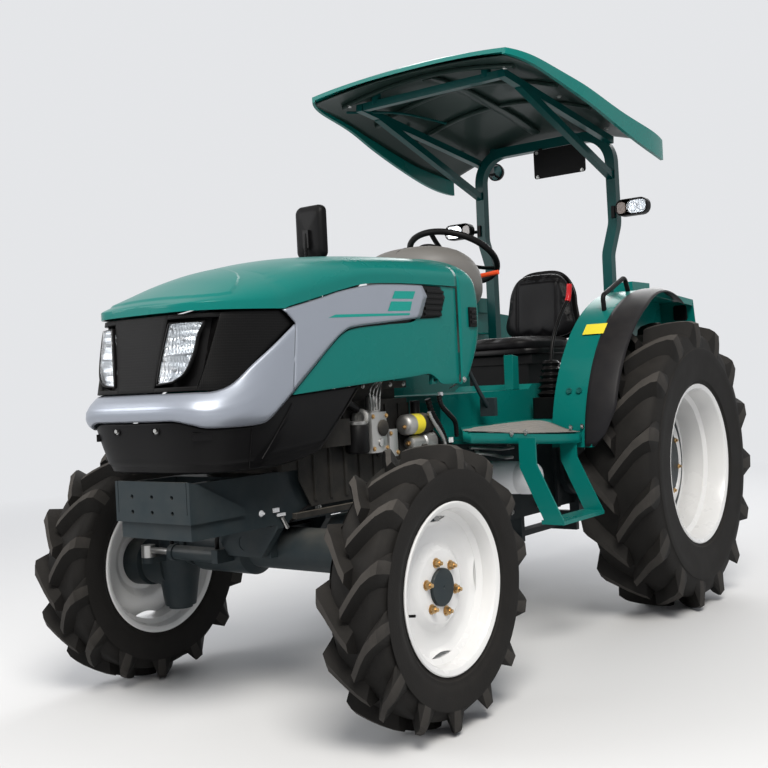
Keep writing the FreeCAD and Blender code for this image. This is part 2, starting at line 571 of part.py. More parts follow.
def rear_axle():
    """Centre case with the lift housing on top, and a trumpet out to each wheel."""
    w = GEARBOX_HALF_WIDTH
    case = box(-w, w, GEARBOX_REAR_Y, REAR_CASE_REAR_Y, 470, 890)
    lift_case = box(-w + 10, w - 10, GEARBOX_REAR_Y + 40, REAR_CASE_REAR_Y - 30, 880, 1010)
    lift = V(0, ROCKSHAFT_Y, ROCKSHAFT_Z)
    cross_tube = cylinder(ROCKSHAFT_RADIUS + 16, lift - ALONG_X * (w + 14), lift + ALONG_X * (w + 14))
    bore = cylinder(ROCKSHAFT_RADIUS + RUNNING_FIT, lift - ALONG_X * (w + 20), lift + ALONG_X * (w + 20))
    z = REAR_TYRE_RADIUS
    neck_x = REAR_AXLE_FLANGE_X - 140
    parts = [lift_case, cross_tube]
    for side in (1, -1):
        parts.append(cylinder(158, V(side * (w - 5), 0, z), V(side * (w + TRUMPET_FLANGE), 0, z)))
        parts.append(cone(128, TRUMPET_RADIUS, V(side * (w + TRUMPET_FLANGE), 0, z), V(side * neck_x, 0, z)))
        parts.append(cylinder(TRUMPET_RADIUS, V(side * neck_x, 0, z), V(side * REAR_AXLE_FLANGE_X, 0, z)))
        parts.append(cylinder(TRUMPET_RADIUS + 26, V(side * (REAR_AXLE_FLANGE_X - 40), 0, z),
                              V(side * REAR_AXLE_FLANGE_X, 0, z)))
        parts.append(box(*sorted((side * (LOWER_PIN_X - 44), side * 158)), LOWER_PIN_Y - 45, LOWER_PIN_Y + 45,
                         LOWER_PIN_Z - 45, LOWER_PIN_Z + 60))
        parts.append(cylinder(LOWER_PIN_RADIUS, V(side * 170, LOWER_PIN_Y, LOWER_PIN_Z),
                              V(side * (LOWER_PIN_X + 22), LOWER_PIN_Y, LOWER_PIN_Z)))
    pto_face = REAR_CASE_REAR_Y
    parts.append(cylinder(58, V(0, pto_face - 1, PTO_Z), V(0, pto_face + 14, PTO_Z)))
    parts.append(cylinder(PTO_RADIUS, V(0, pto_face, PTO_Z), V(0, pto_face + 14 + PTO_LENGTH, PTO_Z)))
    guard = box(-95, 95, pto_face - 1, pto_face + 120, PTO_Z + 78, PTO_Z + 84)
    parts.append(guard)
    parts.append(box(-95, -89, pto_face - 1, pto_face + 120, PTO_Z - 10, PTO_Z + 80))
    parts.append(box(89, 95, pto_face - 1, pto_face + 120, PTO_Z - 10, PTO_Z + 80))
    for x in (-34, 22):
        parts.append(box(x, x + 12, pto_face - 1, pto_face + 62, TOP_LINK_Z - 40, TOP_LINK_Z + 34))
    parts.append(cylinder(TOP_PIN_RADIUS, V(-34, pto_face + TOP_LINK_OUT, TOP_LINK_Z),
                          V(34, pto_face + TOP_LINK_OUT, TOP_LINK_Z)))
    solid = fuse(case, *parts).cut(bore)
    spindle_hole = REAR_HUB_RADIUS * HUB_SPINDLE_SHARE + RUNNING_FIT
    for side in (1, -1):
        solid = solid.cut(cylinder(spindle_hole, V(side * (REAR_AXLE_FLANGE_X - 26), 0, z),
                                   V(side * (REAR_AXLE_FLANGE_X + 1), 0, z)))
    return solid


def drawbar():
    """Hanger under the rear case with a flat bar through it."""
    z = DRAWBAR_Z
    bar = box(-32, 32, -380, REAR_CASE_REAR_Y + 250, z - 14, z + 14)
    bar = bar.cut(cylinder(DRAWBAR_HOLE_RADIUS, V(0, REAR_CASE_REAR_Y + 205, z - 20),
                           V(0, REAR_CASE_REAR_Y + 205, z + 20)))
    rear_hanger = box(-95, 95, REAR_CASE_REAR_Y - 60, REAR_CASE_REAR_Y - 30, z - 40, 470)
    slot = box(-60, 60, REAR_CASE_REAR_Y - 61, REAR_CASE_REAR_Y - 29, z + 60, 440)
    front_hanger = box(-60, 60, -350, -320, z - 30, 455)
    return fuse(bar, rear_hanger.cut(slot), front_hanger)


def drive_shaft():
    """Tube from the gearbox's transfer case to the front axle's gear case."""
    start = V(DRIVE_SHAFT_X, TRANSFER_FRONT_Y, AXLE_BEAM_Z)
    end = V(DRIVE_SHAFT_X, FRONT_AXLE_Y + AXLE_NOSE_REACH, AXLE_BEAM_Z)
    return fuse(cylinder(30, start, end), cylinder(44, start, start + (end - start) * 0.08),
                cylinder(44, end, end + (start - end) * 0.08))


# ---- three-point hitch
def lower_ball_point():
    return V(LOWER_BALL_X, REAR_OVERHANG - LOWER_BALL_RADIUS, LOWER_BALL_Z)


def lower_link(left):
    """Flat bar from its pin on the rear case to the ball end, with a lug for the lift rod."""
    pin = V(LOWER_PIN_X + 6, LOWER_PIN_Y, LOWER_PIN_Z)
    ball = lower_ball_point()
    bar = hull_bar(pin, ball, 18, 58)
    eye = cylinder(34, pin - ALONG_X * 11, pin + ALONG_X * 11)
    head = cylinder(LOWER_BALL_RADIUS, ball - ALONG_X * 19, ball + ALONG_X * 19)
    lug = rod_ends()[1]
    stub = cylinder(LIFT_PIN_RADIUS, V(lug.x - 32, lug.y, lug.z), V(lug.x - 10 - SEAT_GAP, lug.y, lug.z))
    solid = fuse(bar, eye, head, stub)
    solid = solid.cut(cylinder(LOWER_PIN_RADIUS + RUNNING_FIT, pin - ALONG_X * 40, pin + ALONG_X * 40))
    solid = solid.cut(cylinder(LOWER_BALL_BORE, ball - ALONG_X * 40, ball + ALONG_X * 40))
    return side_of(solid, left)


def hull_bar(start, end, thick, height):
    """A straight flat bar between two points, thick across X and high across Z."""
    def ring(point):
        corners = [(-1, -1), (1, -1), (1, 1), (-1, 1), (-1, -1)]
        return Part.makePolygon([point + V(a * thick / 2, 0, b * height / 2) for a, b in corners])
    return Part.makeLoft([ring(start), ring(end)], True, True)


def lift_arms():
    """Rocker shaft through the lift housing with an arm on each end."""
    shaft = cylinder(ROCKSHAFT_RADIUS, V(-LIFT_ARM_X - 16, ROCKSHAFT_Y, ROCKSHAFT_Z),
                     V(LIFT_ARM_X + 16, ROCKSHAFT_Y, ROCKSHAFT_Z))
    parts = []
    for side in (1, -1):
        x = side * LIFT_ARM_X
        root = V(x, ROCKSHAFT_Y, ROCKSHAFT_Z)
        tip = V(x, ROCKSHAFT_Y + LIFT_ARM_LENGTH, ROCKSHAFT_Z)
        parts.append(hull_bar(root, tip, 26, 52))
        parts.append(cylinder(52, root - ALONG_X * 20, root + ALONG_X * 20))
        parts.append(cylinder(26, tip - ALONG_X * 13, tip + ALONG_X * 13))
        parts.append(cylinder(LIFT_PIN_RADIUS, tip, tip + ALONG_X * (side * 42)))
    return fuse(shaft, *parts)


def rod_ends():
    """Upper and lower eye centres of the left lift rod."""
    upper = V(LIFT_ARM_X + 28, ROCKSHAFT_Y + LIFT_ARM_LENGTH, ROCKSHAFT_Z)
    pin = V(LOWER_PIN_X, LOWER_PIN_Y, LOWER_PIN_Z)
    lug = pin + (lower_ball_point() - pin) * LOWER_LUG_SHARE
    return upper, V(lug.x + 32, lug.y, lug.z)


def lift_rod(left):
    upper, lower = rod_ends()
    along = (lower - upper).normalize()
    bar = cylinder(13, upper + along * 22, lower - along * 22)
    barrel = cylinder(24, upper + (lower - upper) * 0.3, upper + (lower - upper) * 0.62)
    solid = fuse(bar, barrel, cylinder(27, upper - ALONG_X * 10, upper + ALONG_X * 10),
                 cylinder(27, lower - ALONG_X * 10, lower + ALONG_X * 10))
    solid = solid.cut(cylinder(LIFT_PIN_RADIUS + RUNNING_FIT, upper - ALONG_X * 20, upper + ALONG_X * 20))
    return side_of(solid, left)


def top_link():
    root = V(0, REAR_CASE_REAR_Y + TOP_LINK_OUT, TOP_LINK_Z)
    end = root + V(0, TOP_LINK_LENGTH, 60)
    solid = fuse(cylinder(15, root, end), cylinder(22, root + (end - root) * 0.2, root + (end - root) * 0.8),
                 cylinder(26, root - ALONG_X * 18, root + ALONG_X * 18),
                 cylinder(26, end - ALONG_X * 22, end + ALONG_X * 22))
    solid = solid.cut(cylinder(TOP_PIN_RADIUS + RUNNING_FIT, root - ALONG_X * 30, root + ALONG_X * 30))
    return solid.cut(cylinder(TOP_LINK_BORE, end - ALONG_X * 30, end + ALONG_X * 30))


# ---- bonnet
def nose_outline(inset):
    """Half-width of the bonnet at each Y: a super-ellipse nose, then straight sides."""
    points = []
    reach = HOOD_NOSE_REACH - inset
    half = HOOD_HALF_WIDTH - inset
    centre_y = HOOD_NOSE_Y + HOOD_NOSE_REACH
    for step in range(0, 19):
        turn = math.radians(step * 5)
        x = half * math.sin(turn) ** (2 / NOSE_SQUARENESS)
        y = centre_y - reach * math.cos(turn) ** (2 / NOSE_SQUARENESS)
        points.append((x, y))
    return points


def nose_prism(inset, z0, z1, rear_y):
    right = [(-x, y) for x, y in nose_outline(inset)[1:]]
    left = nose_outline(inset)[::-1]
    half = HOOD_HALF_WIDTH - inset
    curve = Part.BSplineCurve()
    curve.interpolate([V(x, y, z0) for x, y in left + right])
    tail = Part.makePolygon([V(-half, right[-1][1], z0), V(-half, rear_y, z0), V(half, rear_y, z0),
                             V(half, left[0][1], z0)])
    face = Part.Face(Part.Wire([curve.toShape()] + tail.Edges))
    return face.extrude(V(0, 0, z1 - z0))


# The bonnet's outlines are drawn from the front axle: (distance behind it, height).
# Heights of the bonnet's centre line and of its shoulders, from the nose tip back to the cowl.
HOOD_TOP = [(-710, 1398, 1352), (-640, 1425, 1365), (-513, 1478, 1392), (-307, 1540, 1440),
            (-140, 1572, 1480), (230, 1607, 1535), (534, 1623, 1556), (766, 1627, 1560),
            (950, 1622, 1552)]


def crown(inset, floor_z, front_y, rear_y, half):
    """The space under the bonnet's skin: arched sections strung along Y."""
    rings = []
    for behind, top, shoulder in HOOD_TOP:
        y = FRONT_AXLE_Y + behind
        w = half - inset
        apex = top - inset
        edge = shoulder - inset
        arch = Part.Arc(V(-w + 40, y, edge), V(0, y, apex), V(w - 40, y, edge)).toShape()
        lines = Part.makePolygon([V(w - 40, y, edge), V(w, y, edge - 46), V(w, y, floor_z),
                                  V(-w, y, floor_z), V(-w, y, edge - 46), V(-w + 40, y, edge)])
        rings.append(Part.Wire([arch] + lines.Edges))
    space = Part.makeLoft(rings, True, False)
    return space.common(box(-900, 900, front_y, rear_y, floor_z - 1, 2000))


def hood_shell(inset, thickness, floor_z):
    """Outer skin of the bonnet and nose, open below and behind."""
    def volume(i, z0, rear_y):
        front_y = FRONT_AXLE_Y + HOOD_TOP[0][0] + 1
        space = crown(i, z0, front_y, rear_y, HOOD_HALF_WIDTH)
        return space.common(nose_prism(i, z0 - 5, 1800, rear_y + 5))
    outer = volume(inset, floor_z, HOOD_REAR_Y)
    inner = volume(inset + thickness, floor_z - 30, HOOD_REAR_Y + 30)
    return outer.cut(inner)


SEAM_TOP = [(AHEAD, 1372), (-280, 1380), (-247, 1381), (-149, 1404), (-44, 1429), (66, 1456),
            (215, 1482), (527, 1492)]
GRILLE_REAR = [(-191, 1335), (-379, 1207), (-457, 1150), (-515, 1124), (AHEAD, 1124)]
SILVER_BOTTOM = [(AHEAD, 1036), (-610, 1036), (-558, 1009), (-385, 1011), (-339, 1022), (-220, 1102),
                 (3, 1270), (41, 1300), (108, 1322), (505, 1362)]
SIDE_FRONT_LOW = (-212, 1098)
SIDE_BOTTOM = [(BEHIND, 1106), (641, 1106), (610, 1128), (555, 1149)]
SILVER_REAR = [(552, 1446), (540, 1404)]

def side_plate(points):
    """A side-view outline, drawn from the front axle, made wide enough to cut right across."""
    return plate_yz([(FRONT_AXLE_Y + y, z) for y, z in points], -900, 900)


def hood_panels():
    """The skin cut into the panels that meet at the seams, PANEL_GAP apart."""
    skin = hood_shell(0, SHELL, NOSE_BOTTOM_Z)
    gap = PANEL_GAP
    seam_rear = SEAM_TOP[-1][1]
    top_zone = side_plate(SEAM_TOP + [(BEHIND, seam_rear), (BEHIND, 1900), (AHEAD, 1900)])
    lip_low = [(y, z - LIP_DEPTH) for y, z in SEAM_TOP]
    lip_zone = side_plate(SEAM_TOP + [(BEHIND, seam_rear), (BEHIND, seam_rear - LIP_DEPTH)] + lip_low[::-1])
    lip = hood_shell(SHELL + SEAT_GAP, LIP_THICK, NOSE_BOTTOM_Z).common(lip_zone)
    root_zone = side_plate([(y, z + 12) for y, z in SEAM_TOP] +
                           [(BEHIND, seam_rear + 12), (BEHIND, seam_rear - LIP_DEPTH)] + lip_low[::-1])
    root = hood_shell(SHELL - 1, LIP_THICK + 1, NOSE_BOTTOM_Z).common(root_zone.common(top_zone))
    root = root.fuse(hood_shell(SHELL + SEAT_GAP, LIP_THICK, NOSE_BOTTOM_Z).common(root_zone))
    hood_top = fuse(skin.common(top_zone), root, lip, *hinge_arms())
    grille_zone = side_plate([(AHEAD, SEAM_TOP[0][1] - gap), (SEAM_TOP[2][0] - 3, SEAM_TOP[1][1] - gap)]
                             + GRILLE_REAR)
    grille = hood_shell(GRILLE_INSET, SHELL - GRILLE_INSET, NOSE_BOTTOM_Z).common(grille_zone)
    silver_top = [(SEAM_TOP[2][0] + gap, SEAM_TOP[2][1] - gap)] + [(y, z - gap) for y, z in SEAM_TOP[3:]]
    tip_y, tip_z = GRILLE_REAR[0]
    silver_front = [(y - gap * 0.7, z - gap) for y, z in GRILLE_REAR[:0:-1]] + [(tip_y + 7, tip_z + 1)]
    band_zone = side_plate(silver_front + silver_top + SILVER_REAR + SILVER_BOTTOM[::-1])
    band = hood_shell(-BAND_PROUD, SHELL + BAND_PROUD, NOSE_BOTTOM_Z).common(band_zone)
    low = [(y + gap * 0.7, z - gap) for y, z in SILVER_BOTTOM[6:]]
    rear = [(y + gap, z) for y, z in SILVER_REAR[::-1]]
    side_zone = side_plate([SIDE_FRONT_LOW] + low + rear + [(529, seam_rear - gap), (BEHIND, seam_rear - gap)]
                           + SIDE_BOTTOM)
    sides = skin.common(side_zone)
    return hood_top, grille, band, sides


def hinge_arms():
    """Two goosenecks under the bonnet's rear edge that reach back to the cowl's hinge pins."""
    arms = []
    for x in (HINGE_X, -HINGE_X - HINGE_ARM):
        outline = [(-185, 26), (-185, -20), (-140, -85), (-10, -95), (16, -70), (14, 9), (-10, 9), (-14, -62),
                   (-120, -60), (-150, -10), (-150, 26)]
        arm = plate_yz([(HINGE_Y + y, HINGE_Z + z) for y, z in outline], x, x + HINGE_ARM)
        bore = cylinder(HINGE_PIN + RUNNING_FIT, V(x - 1, HINGE_Y, HINGE_Z),
                        V(x + HINGE_ARM + 1, HINGE_Y, HINGE_Z))
        arms.append(arm.cut(bore))
    return arms


# Height and stand-off of the silver bar ahead of the nose, from its lower edge up.
BUMPER_RINGS = [(1030, 30), (1062, 64), (1088, 70), (1112, 34), (1124, 6)]


def front_bumper():
    """The bar that carries the silver band forward of the grille, to the tractor's front."""
    peak = max(proud for _, proud in BUMPER_RINGS)
    rear_y = FRONT_AXLE_Y - 370
    back = [(x, y) for x, y in nose_outline(2.0) if y < rear_y]
    rings = []
    for z, proud in BUMPER_RINGS:
        ahead = (HOOD_NOSE_Y - NOSE_TIP_Y) * proud / peak
        front = []
        for x, y in back:
            share = max(0.0, 1 - (x / HOOD_HALF_WIDTH) ** 4)
            front.append((x + min(ahead, BAND_PROUD) * (1 - share), y - ahead * share))
        points = [(-x, y) for x, y in front[:0:-1]] + front + back[::-1] + [(-x, y) for x, y in back[1:]]
        rings.append(Part.makePolygon([V(x, y, z) for x, y in points + points[:1]]))
    return Part.makeLoft(rings, True, True)


def headlights():
    """A lens block let into the grille on each side."""
    skin = hood_shell(5, SHELL - 2, NOSE_BOTTOM_Z)
    zone = plate_xz([(96, 1166), (112, 1150), (158, 1162), (208, 1206), (250, 1330), (142, 1336)],
                    FRONT_AXLE_Y + AHEAD, FRONT_AXLE_Y - 400)
    lens = skin.common(zone)
    return zone, lens


def lower_cowling():
    """Black skirt under the nose and along the radiator, fixed to the frame."""
    skin = hood_shell(4, SHELL, NOSE_BOTTOM_Z)
    gap = PANEL_GAP
    under_band = [(y, z - gap) for y, z in SILVER_BOTTOM[:5]]
    under_side = (SIDE_FRONT_LOW[0] - gap, SIDE_FRONT_LOW[1] - gap)
    zone = side_plate(under_band + [under_side, (148, 1118), (-70, 893), (-250, NOSE_BOTTOM_Z - 5),
                                    (AHEAD, NOSE_BOTTOM_Z - 5)])
    skirt = skin.common(zone)
    stay_rear = FRAME_FRONT_Y + FRAME_WALL - 2
    reach = HOOD_HALF_WIDTH - 85
    feet = box(-reach, reach, FRAME_FRONT_Y, stay_rear, NOSE_BOTTOM_Z, NOSE_BOTTOM_Z + 14)
    stay = box(-80, 80, FRAME_FRONT_Y, stay_rear, FRAME_TOP_Z + SEAT_GAP, NOSE_BOTTOM_Z + 10)
    return fuse(skirt, feet, stay)


# ---- cowl, dash and steering
def cowl():
    """Green housing behind the bonnet, open in front, with a post down to the floor."""
    rear = COWL_REAR_Y
    front = HOOD_REAR_Y + HOOD_REAR_GAP
    outer = crown(-2, COWL_FOOT_Z, front, rear, COWL_HALF_WIDTH)
    inner = crown(SHELL - 2, COWL_FOOT_Z - 30, front - 30, rear - SHELL, COWL_HALF_WIDTH)
    post = box(-92, 92, rear - 60, rear - SHELL + 1, TUNNEL_TOP_Z, COWL_FOOT_Z + 260)
    bulkhead = box(-COWL_HALF_WIDTH + 6, COWL_HALF_WIDTH - 6, rear - SHELL - 20, rear - SHELL + 1,
                   COWL_FOOT_Z, 1530)
    parts = []
    for side in (1, -1):
        lug_x = sorted((side * (HINGE_X - SEAT_GAP), side * (HINGE_X - 12)))
        parts.append(box(*lug_x, HINGE_Y - 12, rear - SHELL, HINGE_Z - 30, HINGE_Z + 12))
        parts.append(cylinder(HINGE_PIN, V(side * (HINGE_X - 12), HINGE_Y, HINGE_Z),
                              V(side * (HINGE_X + HINGE_ARM + 2), HINGE_Y, HINGE_Z)))
    return fuse(outer.cut(inner), post, bulkhead, *parts)


# Sections of the dash dome: distance behind the cowl's rear face, half-width, floor, crown, edge.
DASH_RINGS = [(-124, 190, 1560, 1658, 1630), (-60, 262, 1480, 1697, 1600), (30, 300, 1330, 1715, 1560),
              (120, 286, 1340, 1700, 1530), (200, 220, 1380, 1655, 1500), (255, 120, 1440, 1590, 1500)]


def dash_body():
    rings = []
    for behind, half, low, high, edge in DASH_RINGS:
        y = COWL_REAR_Y + behind
        arch = Part.Arc(V(-half, y, edge), V(0, y, high), V(half, y, edge)).toShape()
        sides = Part.makePolygon([V(half, y, edge), V(half, y, low), V(-half, y, low), V(-half, y, edge)])
        rings.append(Part.Wire([arch] + sides.Edges))
    return Part.makeLoft(rings, True, False)


def dash():
    """Grey instrument dome that sits over the cowl's top and against its rear face."""
    below = crown(-2 - SEAT_GAP, COWL_FOOT_Z, HOOD_REAR_Y, COWL_REAR_Y + SEAT_GAP, COWL_HALF_WIDTH)
    return largest_piece(dash_body().cut(below))


def largest_piece(shape):
    return max(shape.Solids, key=lambda solid: solid.Volume)


def column_axis():
    tilt = math.radians(COLUMN_TILT)
    return V(0, math.sin(tilt), math.cos(tilt))


def steering_column():
    hub = V(0, WHEEL_HUB_Y, WHEEL_HUB_Z)
    axis = column_axis()
    top = hub - axis * (42 + SEAT_GAP)
    shaft = cylinder(34, hub - axis * COLUMN_LENGTH, top)
    shroud = cone(62, 44, hub - axis * COLUMN_LENGTH, hub - axis * 110)
    outside = fuse(shaft, shroud).cut(dash_body())
    return max(outside.Solids, key=lambda solid: solid.CenterOfMass.z)


def steering_wheel():
    """Rim, three spokes and a hub; its shaft stub enters the column."""
    ring = Part.makeTorus(WHEEL_RING_RADIUS, WHEEL_RING_TUBE, V(0, 0, 0), UP)
    hub = fuse(cylinder(38, V(0, 0, -42), V(0, 0, -8)), cylinder(46, V(0, 0, -30), V(0, 0, 0)))
    spokes = []
    for turn in (90, 210, 330):
        a = math.radians(turn)
        end = V(math.cos(a), math.sin(a), 0) * WHEEL_RING_RADIUS
        spokes.append(cylinder(9, V(0, 0, -16), end))
    wheel_body = fuse(ring, hub, *spokes)
    wheel_body.rotate(V(0, 0, 0), ALONG_X, -COLUMN_TILT)
    wheel_body.translate(V(0, WHEEL_HUB_Y, WHEEL_HUB_Z))
    return wheel_body


# ---- floor, seat and controls
def floor_panel():
    """Left platform: it flares out to the fender behind the step."""
    x0 = TUNNEL_HALF_WIDTH
    front = FLOOR_FRONT_Y
    side_x = FENDER_INNER_X
    edge_x = side_x - SEAT_GAP
    points = [(x0, front), (side_x - 27, front), (side_x - 7, front + 50), (side_x + 148, FLARE_REAR_Y),
              (edge_x, FLARE_REAR_Y), (edge_x, TUNNEL_REAR_Y), (x0, TUNNEL_REAR_Y)]
    slab = plate_xy(points, FLOOR_Z - FLOOR_SKIRT, FLOOR_Z)
    t = FLOOR_SHEET
    inner = [(x0 - 5, front + t), (side_x - 33, front + t), (side_x - 14, front + 54),
             (side_x + 136, FLARE_REAR_Y - t), (side_x - 1 - t, FLARE_REAR_Y - t),
             (side_x - 1 - t, TUNNEL_REAR_Y - t), (x0 - 5, TUNNEL_REAR_Y - t)]
    return slab.cut(plate_xy(inner, FLOOR_Z - FLOOR_SKIRT - 1, FLOOR_Z - FLOOR_SHEET))


def tunnel_cover():
    """Raised middle of the platform over the gearbox, stepped up under the seat."""
    w = TUNNEL_HALF_WIDTH
    front = TUNNEL_FRONT_Y
    top = TUNNEL_TOP_Z
    step_y = SEAT_FRONT_Y - 40
    t = FLOOR_SHEET
    points = [(front, FLOOR_Z - 60), (front, top - 30), (front + 30, top), (step_y, top),
              (step_y + 40, top + SEAT_STEP), (TUNNEL_REAR_Y, top + SEAT_STEP), (TUNNEL_REAR_Y, FLOOR_Z - 60)]
    outer = plate_yz(points, -w + SEAT_GAP, w - SEAT_GAP)
    hollow = [(front + t, FLOOR_Z - 70), (front + t, top - 34), (front + 34, top - t), (step_y, top - t),
              (TUNNEL_REAR_Y - t, top - t), (TUNNEL_REAR_Y - t, FLOOR_Z - 70)]
    return outer.cut(plate_yz(hollow, -w + t, w - t))


def seat_base():
    """Pedestal on the tunnel with the pan that carries the cushion."""
    step_z = TUNNEL_TOP_Z + SEAT_STEP
    base = box(-165, 165, SEAT_FRONT_Y + 40, -70, step_z, SEAT_PAN_Z)
    pan = box(-195, 195, SEAT_FRONT_Y + 30, SEAT_BACK_Y + 15, SEAT_PAN_Z, SEAT_PAN_TOP_Z)
    rest = box(-170, 170, TUNNEL_REAR_Y, -70, 1010, step_z)
    return fuse(base, pan, rest.cut(tunnel_cover()))


def seat_cushion():
    front = SEAT_FRONT_Y
    rear = SEAT_BACK_Y + 60
    low = SEAT_PAN_TOP_Z + SEAT_GAP
    outline = [(front, 1240), (front - 10, 1280), (front + 30, SEAT_TOP_Z), (SEAT_BACK_Y - 60, SEAT_REST_Z),
               (rear, SEAT_REST_Z), (rear, low), (front + 30, low)]
    return plate_yz(outline, -SEAT_HALF_WIDTH, SEAT_HALF_WIDTH)


def seat_back():
    w = SEAT_HALF_WIDTH - 12
    y = SEAT_BACK_Y
    low = SEAT_REST_Z + SEAT_GAP
    top = SEAT_BACK_TOP_Z
    outline = [(-w, low), (-w, top - 168), (-w + 40, top - 68), (-w + 110, top - 12), (0, top),
               (w - 110, top - 12), (w - 40, top - 68), (w, top - 168), (w, low)]
    return plate_xz(outline, y - 40, y + 60)


def pedals():
    """Clutch pedal on the left, two brake pedals and the throttle on the right."""
    pieces = []
    for x in (275, -255, -337):
        pad_y = COWL_REAR_Y + 148
        arm = tube([V(x * 0.93, COWL_REAR_Y + 18, 1180), V(x * 0.97, COWL_REAR_Y + 100, 1060),
                    V(x, pad_y, 1000)], 9, 30)
        pad = box(x - 36, x + 36, pad_y - 6, pad_y + 18, 958, 1036)
        bracket = box(x * 0.93 - 14, x * 0.93 + 14, COWL_REAR_Y, COWL_REAR_Y + 30, 1160, 1206)
        pieces.append(fuse(arm, pad, bracket))
    return pieces


def levers():
    """Gear lever gaiter and long lever beside the seat, one each side, and the short red knob."""
    pieces = []
    for side in (1, -1):
        foot = V(side * 330, -455, FLOOR_Z)
        box_low = box(*sorted((side * 270, side * 395)), -520, -390, FLOOR_Z, FLOOR_Z + 100)
        gaiter = cone(58, 30, foot + UP * 100, foot + UP * 250)
        lever = tube([foot + UP * 240, V(side * 330, -400, 1320), V(side * 318, -235, 1540)], 8, 60)
        grip = cylinder(17, V(side * 319, -252, 1520), V(side * 316, -205, 1585))
        pieces.append(fuse(box_low, gaiter, lever, grip))
    return pieces


# ---- fenders, trims and handles
def arch_point(radius, z):
    """Where the wheel arch of this radius crosses a height, on its front side."""
    return -math.sqrt(radius ** 2 - (z - FENDER_CENTRE_Z) ** 2), z


def arch_top(radius):
    turn = math.radians(FENDER_TOP_TURN)
    return radius * math.cos(turn), FENDER_CENTRE_Z + radius * math.sin(turn)


def fender_band(inset, thickness, x0, x1, front_z, rear_points):
    """A strip that follows the wheel arch from its front foot over the top to its rear edge."""
    outer = FENDER_RADIUS - inset
    inner = outer - thickness

    def arc(radius):
        turn = math.radians(FENDER_MID_TURN)
        middle = V(x0, radius * math.cos(turn), FENDER_CENTRE_Z + radius * math.sin(turn))
        return V(x0, *arch_point(radius, front_z)), middle, V(x0, *arch_top(radius))

    a0, a1, a2 = arc(outer)
    b0, b1, b2 = arc(inner)
    last = len(rear_points) - 1
    drop = [(-thickness * (i > 0), -thickness * (i == 0 or i < last)) for i in range(last + 1)]
    rear_out = [V(x0, y, z - inset) for y, z in rear_points]
    rear_in = [V(x0, y + dy, z - inset + dz) for (y, z), (dy, dz) in zip(rear_points, drop)]
    edges = [Part.Arc(a0, a1, a2).toShape()]
    edges += Part.makePolygon([a2] + rear_out + rear_in[::-1] + [b2]).Edges
    edges.append(Part.Arc(b2, b1, b0).toShape())
    edges.append(Part.LineSegment(b0, a0).toShape())
    return Part.Face(Part.Wire(edges)).extrude(V(x1 - x0, 0, 0))


def fender():
    """Arched sheet with a turned-down outer edge, its inner wall and the mounting hump."""
    rear = [FENDER_REAR_TOP, FENDER_REAR_LOW]
    top = fender_band(0, FENDER_SHEET, FENDER_INNER_X, FENDER_OUTER_X, FENDER_FRONT_Z, rear)
    edge = fender_band(FENDER_SHEET - 1, 26, FENDER_OUTER_X - FENDER_SHEET, FENDER_OUTER_X, FENDER_FRONT_Z,
                       [(FENDER_REAR_TOP[0] - 8, FENDER_REAR_TOP[1])])
    radius = FENDER_RADIUS - 1
    turn = math.radians(FENDER_MID_TURN)
    x = FENDER_INNER_X
    start = V(x, *arch_point(radius, FENDER_FRONT_Z))
    mid = V(x, radius * math.cos(turn), FENDER_CENTRE_Z + radius * math.sin(turn))
    top_end = V(x, *arch_top(radius))
    wall_edges = [Part.Arc(start, mid, top_end).toShape()]
    wall_edges += Part.makePolygon([
        top_end, V(x, FENDER_REAR_TOP[0] - 4, FENDER_REAR_TOP[1] - 4),
        V(x, FENDER_REAR_LOW[0] - 4, FENDER_REAR_LOW[1]), V(x, 430, 1060),
        V(x, 240, 880), V(x, -420, 866), start]).Edges
    wall = Part.Face(Part.Wire(wall_edges)).extrude(V(FENDER_SHEET, 0, 0))
    hump = box(FENDER_INNER_X - 40, FENDER_INNER_X + 60, 60, 270, 1480, 1560)
    foot = box(ROPS_LOW_X + ROPS_TUBE / 2 + 1, FENDER_INNER_X + 2, 100, 230, 1360, 1366)
    return fuse(top, edge, wall, hump, foot)


def fender_trim():
    """Rubber lip that widens the fender over the tyre."""
    rear_y, rear_z = FENDER_REAR_TOP
    end = [(rear_y - 160, rear_z + 14), (rear_y - 155, rear_z - 30)]
    return fender_band(2, 12, FENDER_OUTER_X + SEAT_GAP, FENDER_TRIM_X, FENDER_FRONT_Z + 4, end)


def grab_handle():
    """Bent bar on the fender's crown, beside the driver."""
    def on_arch(turn, rise):
        a = math.radians(turn)
        r = FENDER_RADIUS + rise
        return V(GRAB_HANDLE_X, r * math.cos(a), FENDER_CENTRE_Z + r * math.sin(a))

    path = [on_arch(121, -8), on_arch(119, 62), on_arch(100, 70), on_arch(98, -8)]
    bar = tube(path, GRAB_HANDLE_RADIUS, 26)
    axle = V(GRAB_HANDLE_X - 50, 0, FENDER_CENTRE_Z)
    return bar.cut(cylinder(FENDER_RADIUS + SEAT_GAP, axle, axle + ALONG_X * 100))


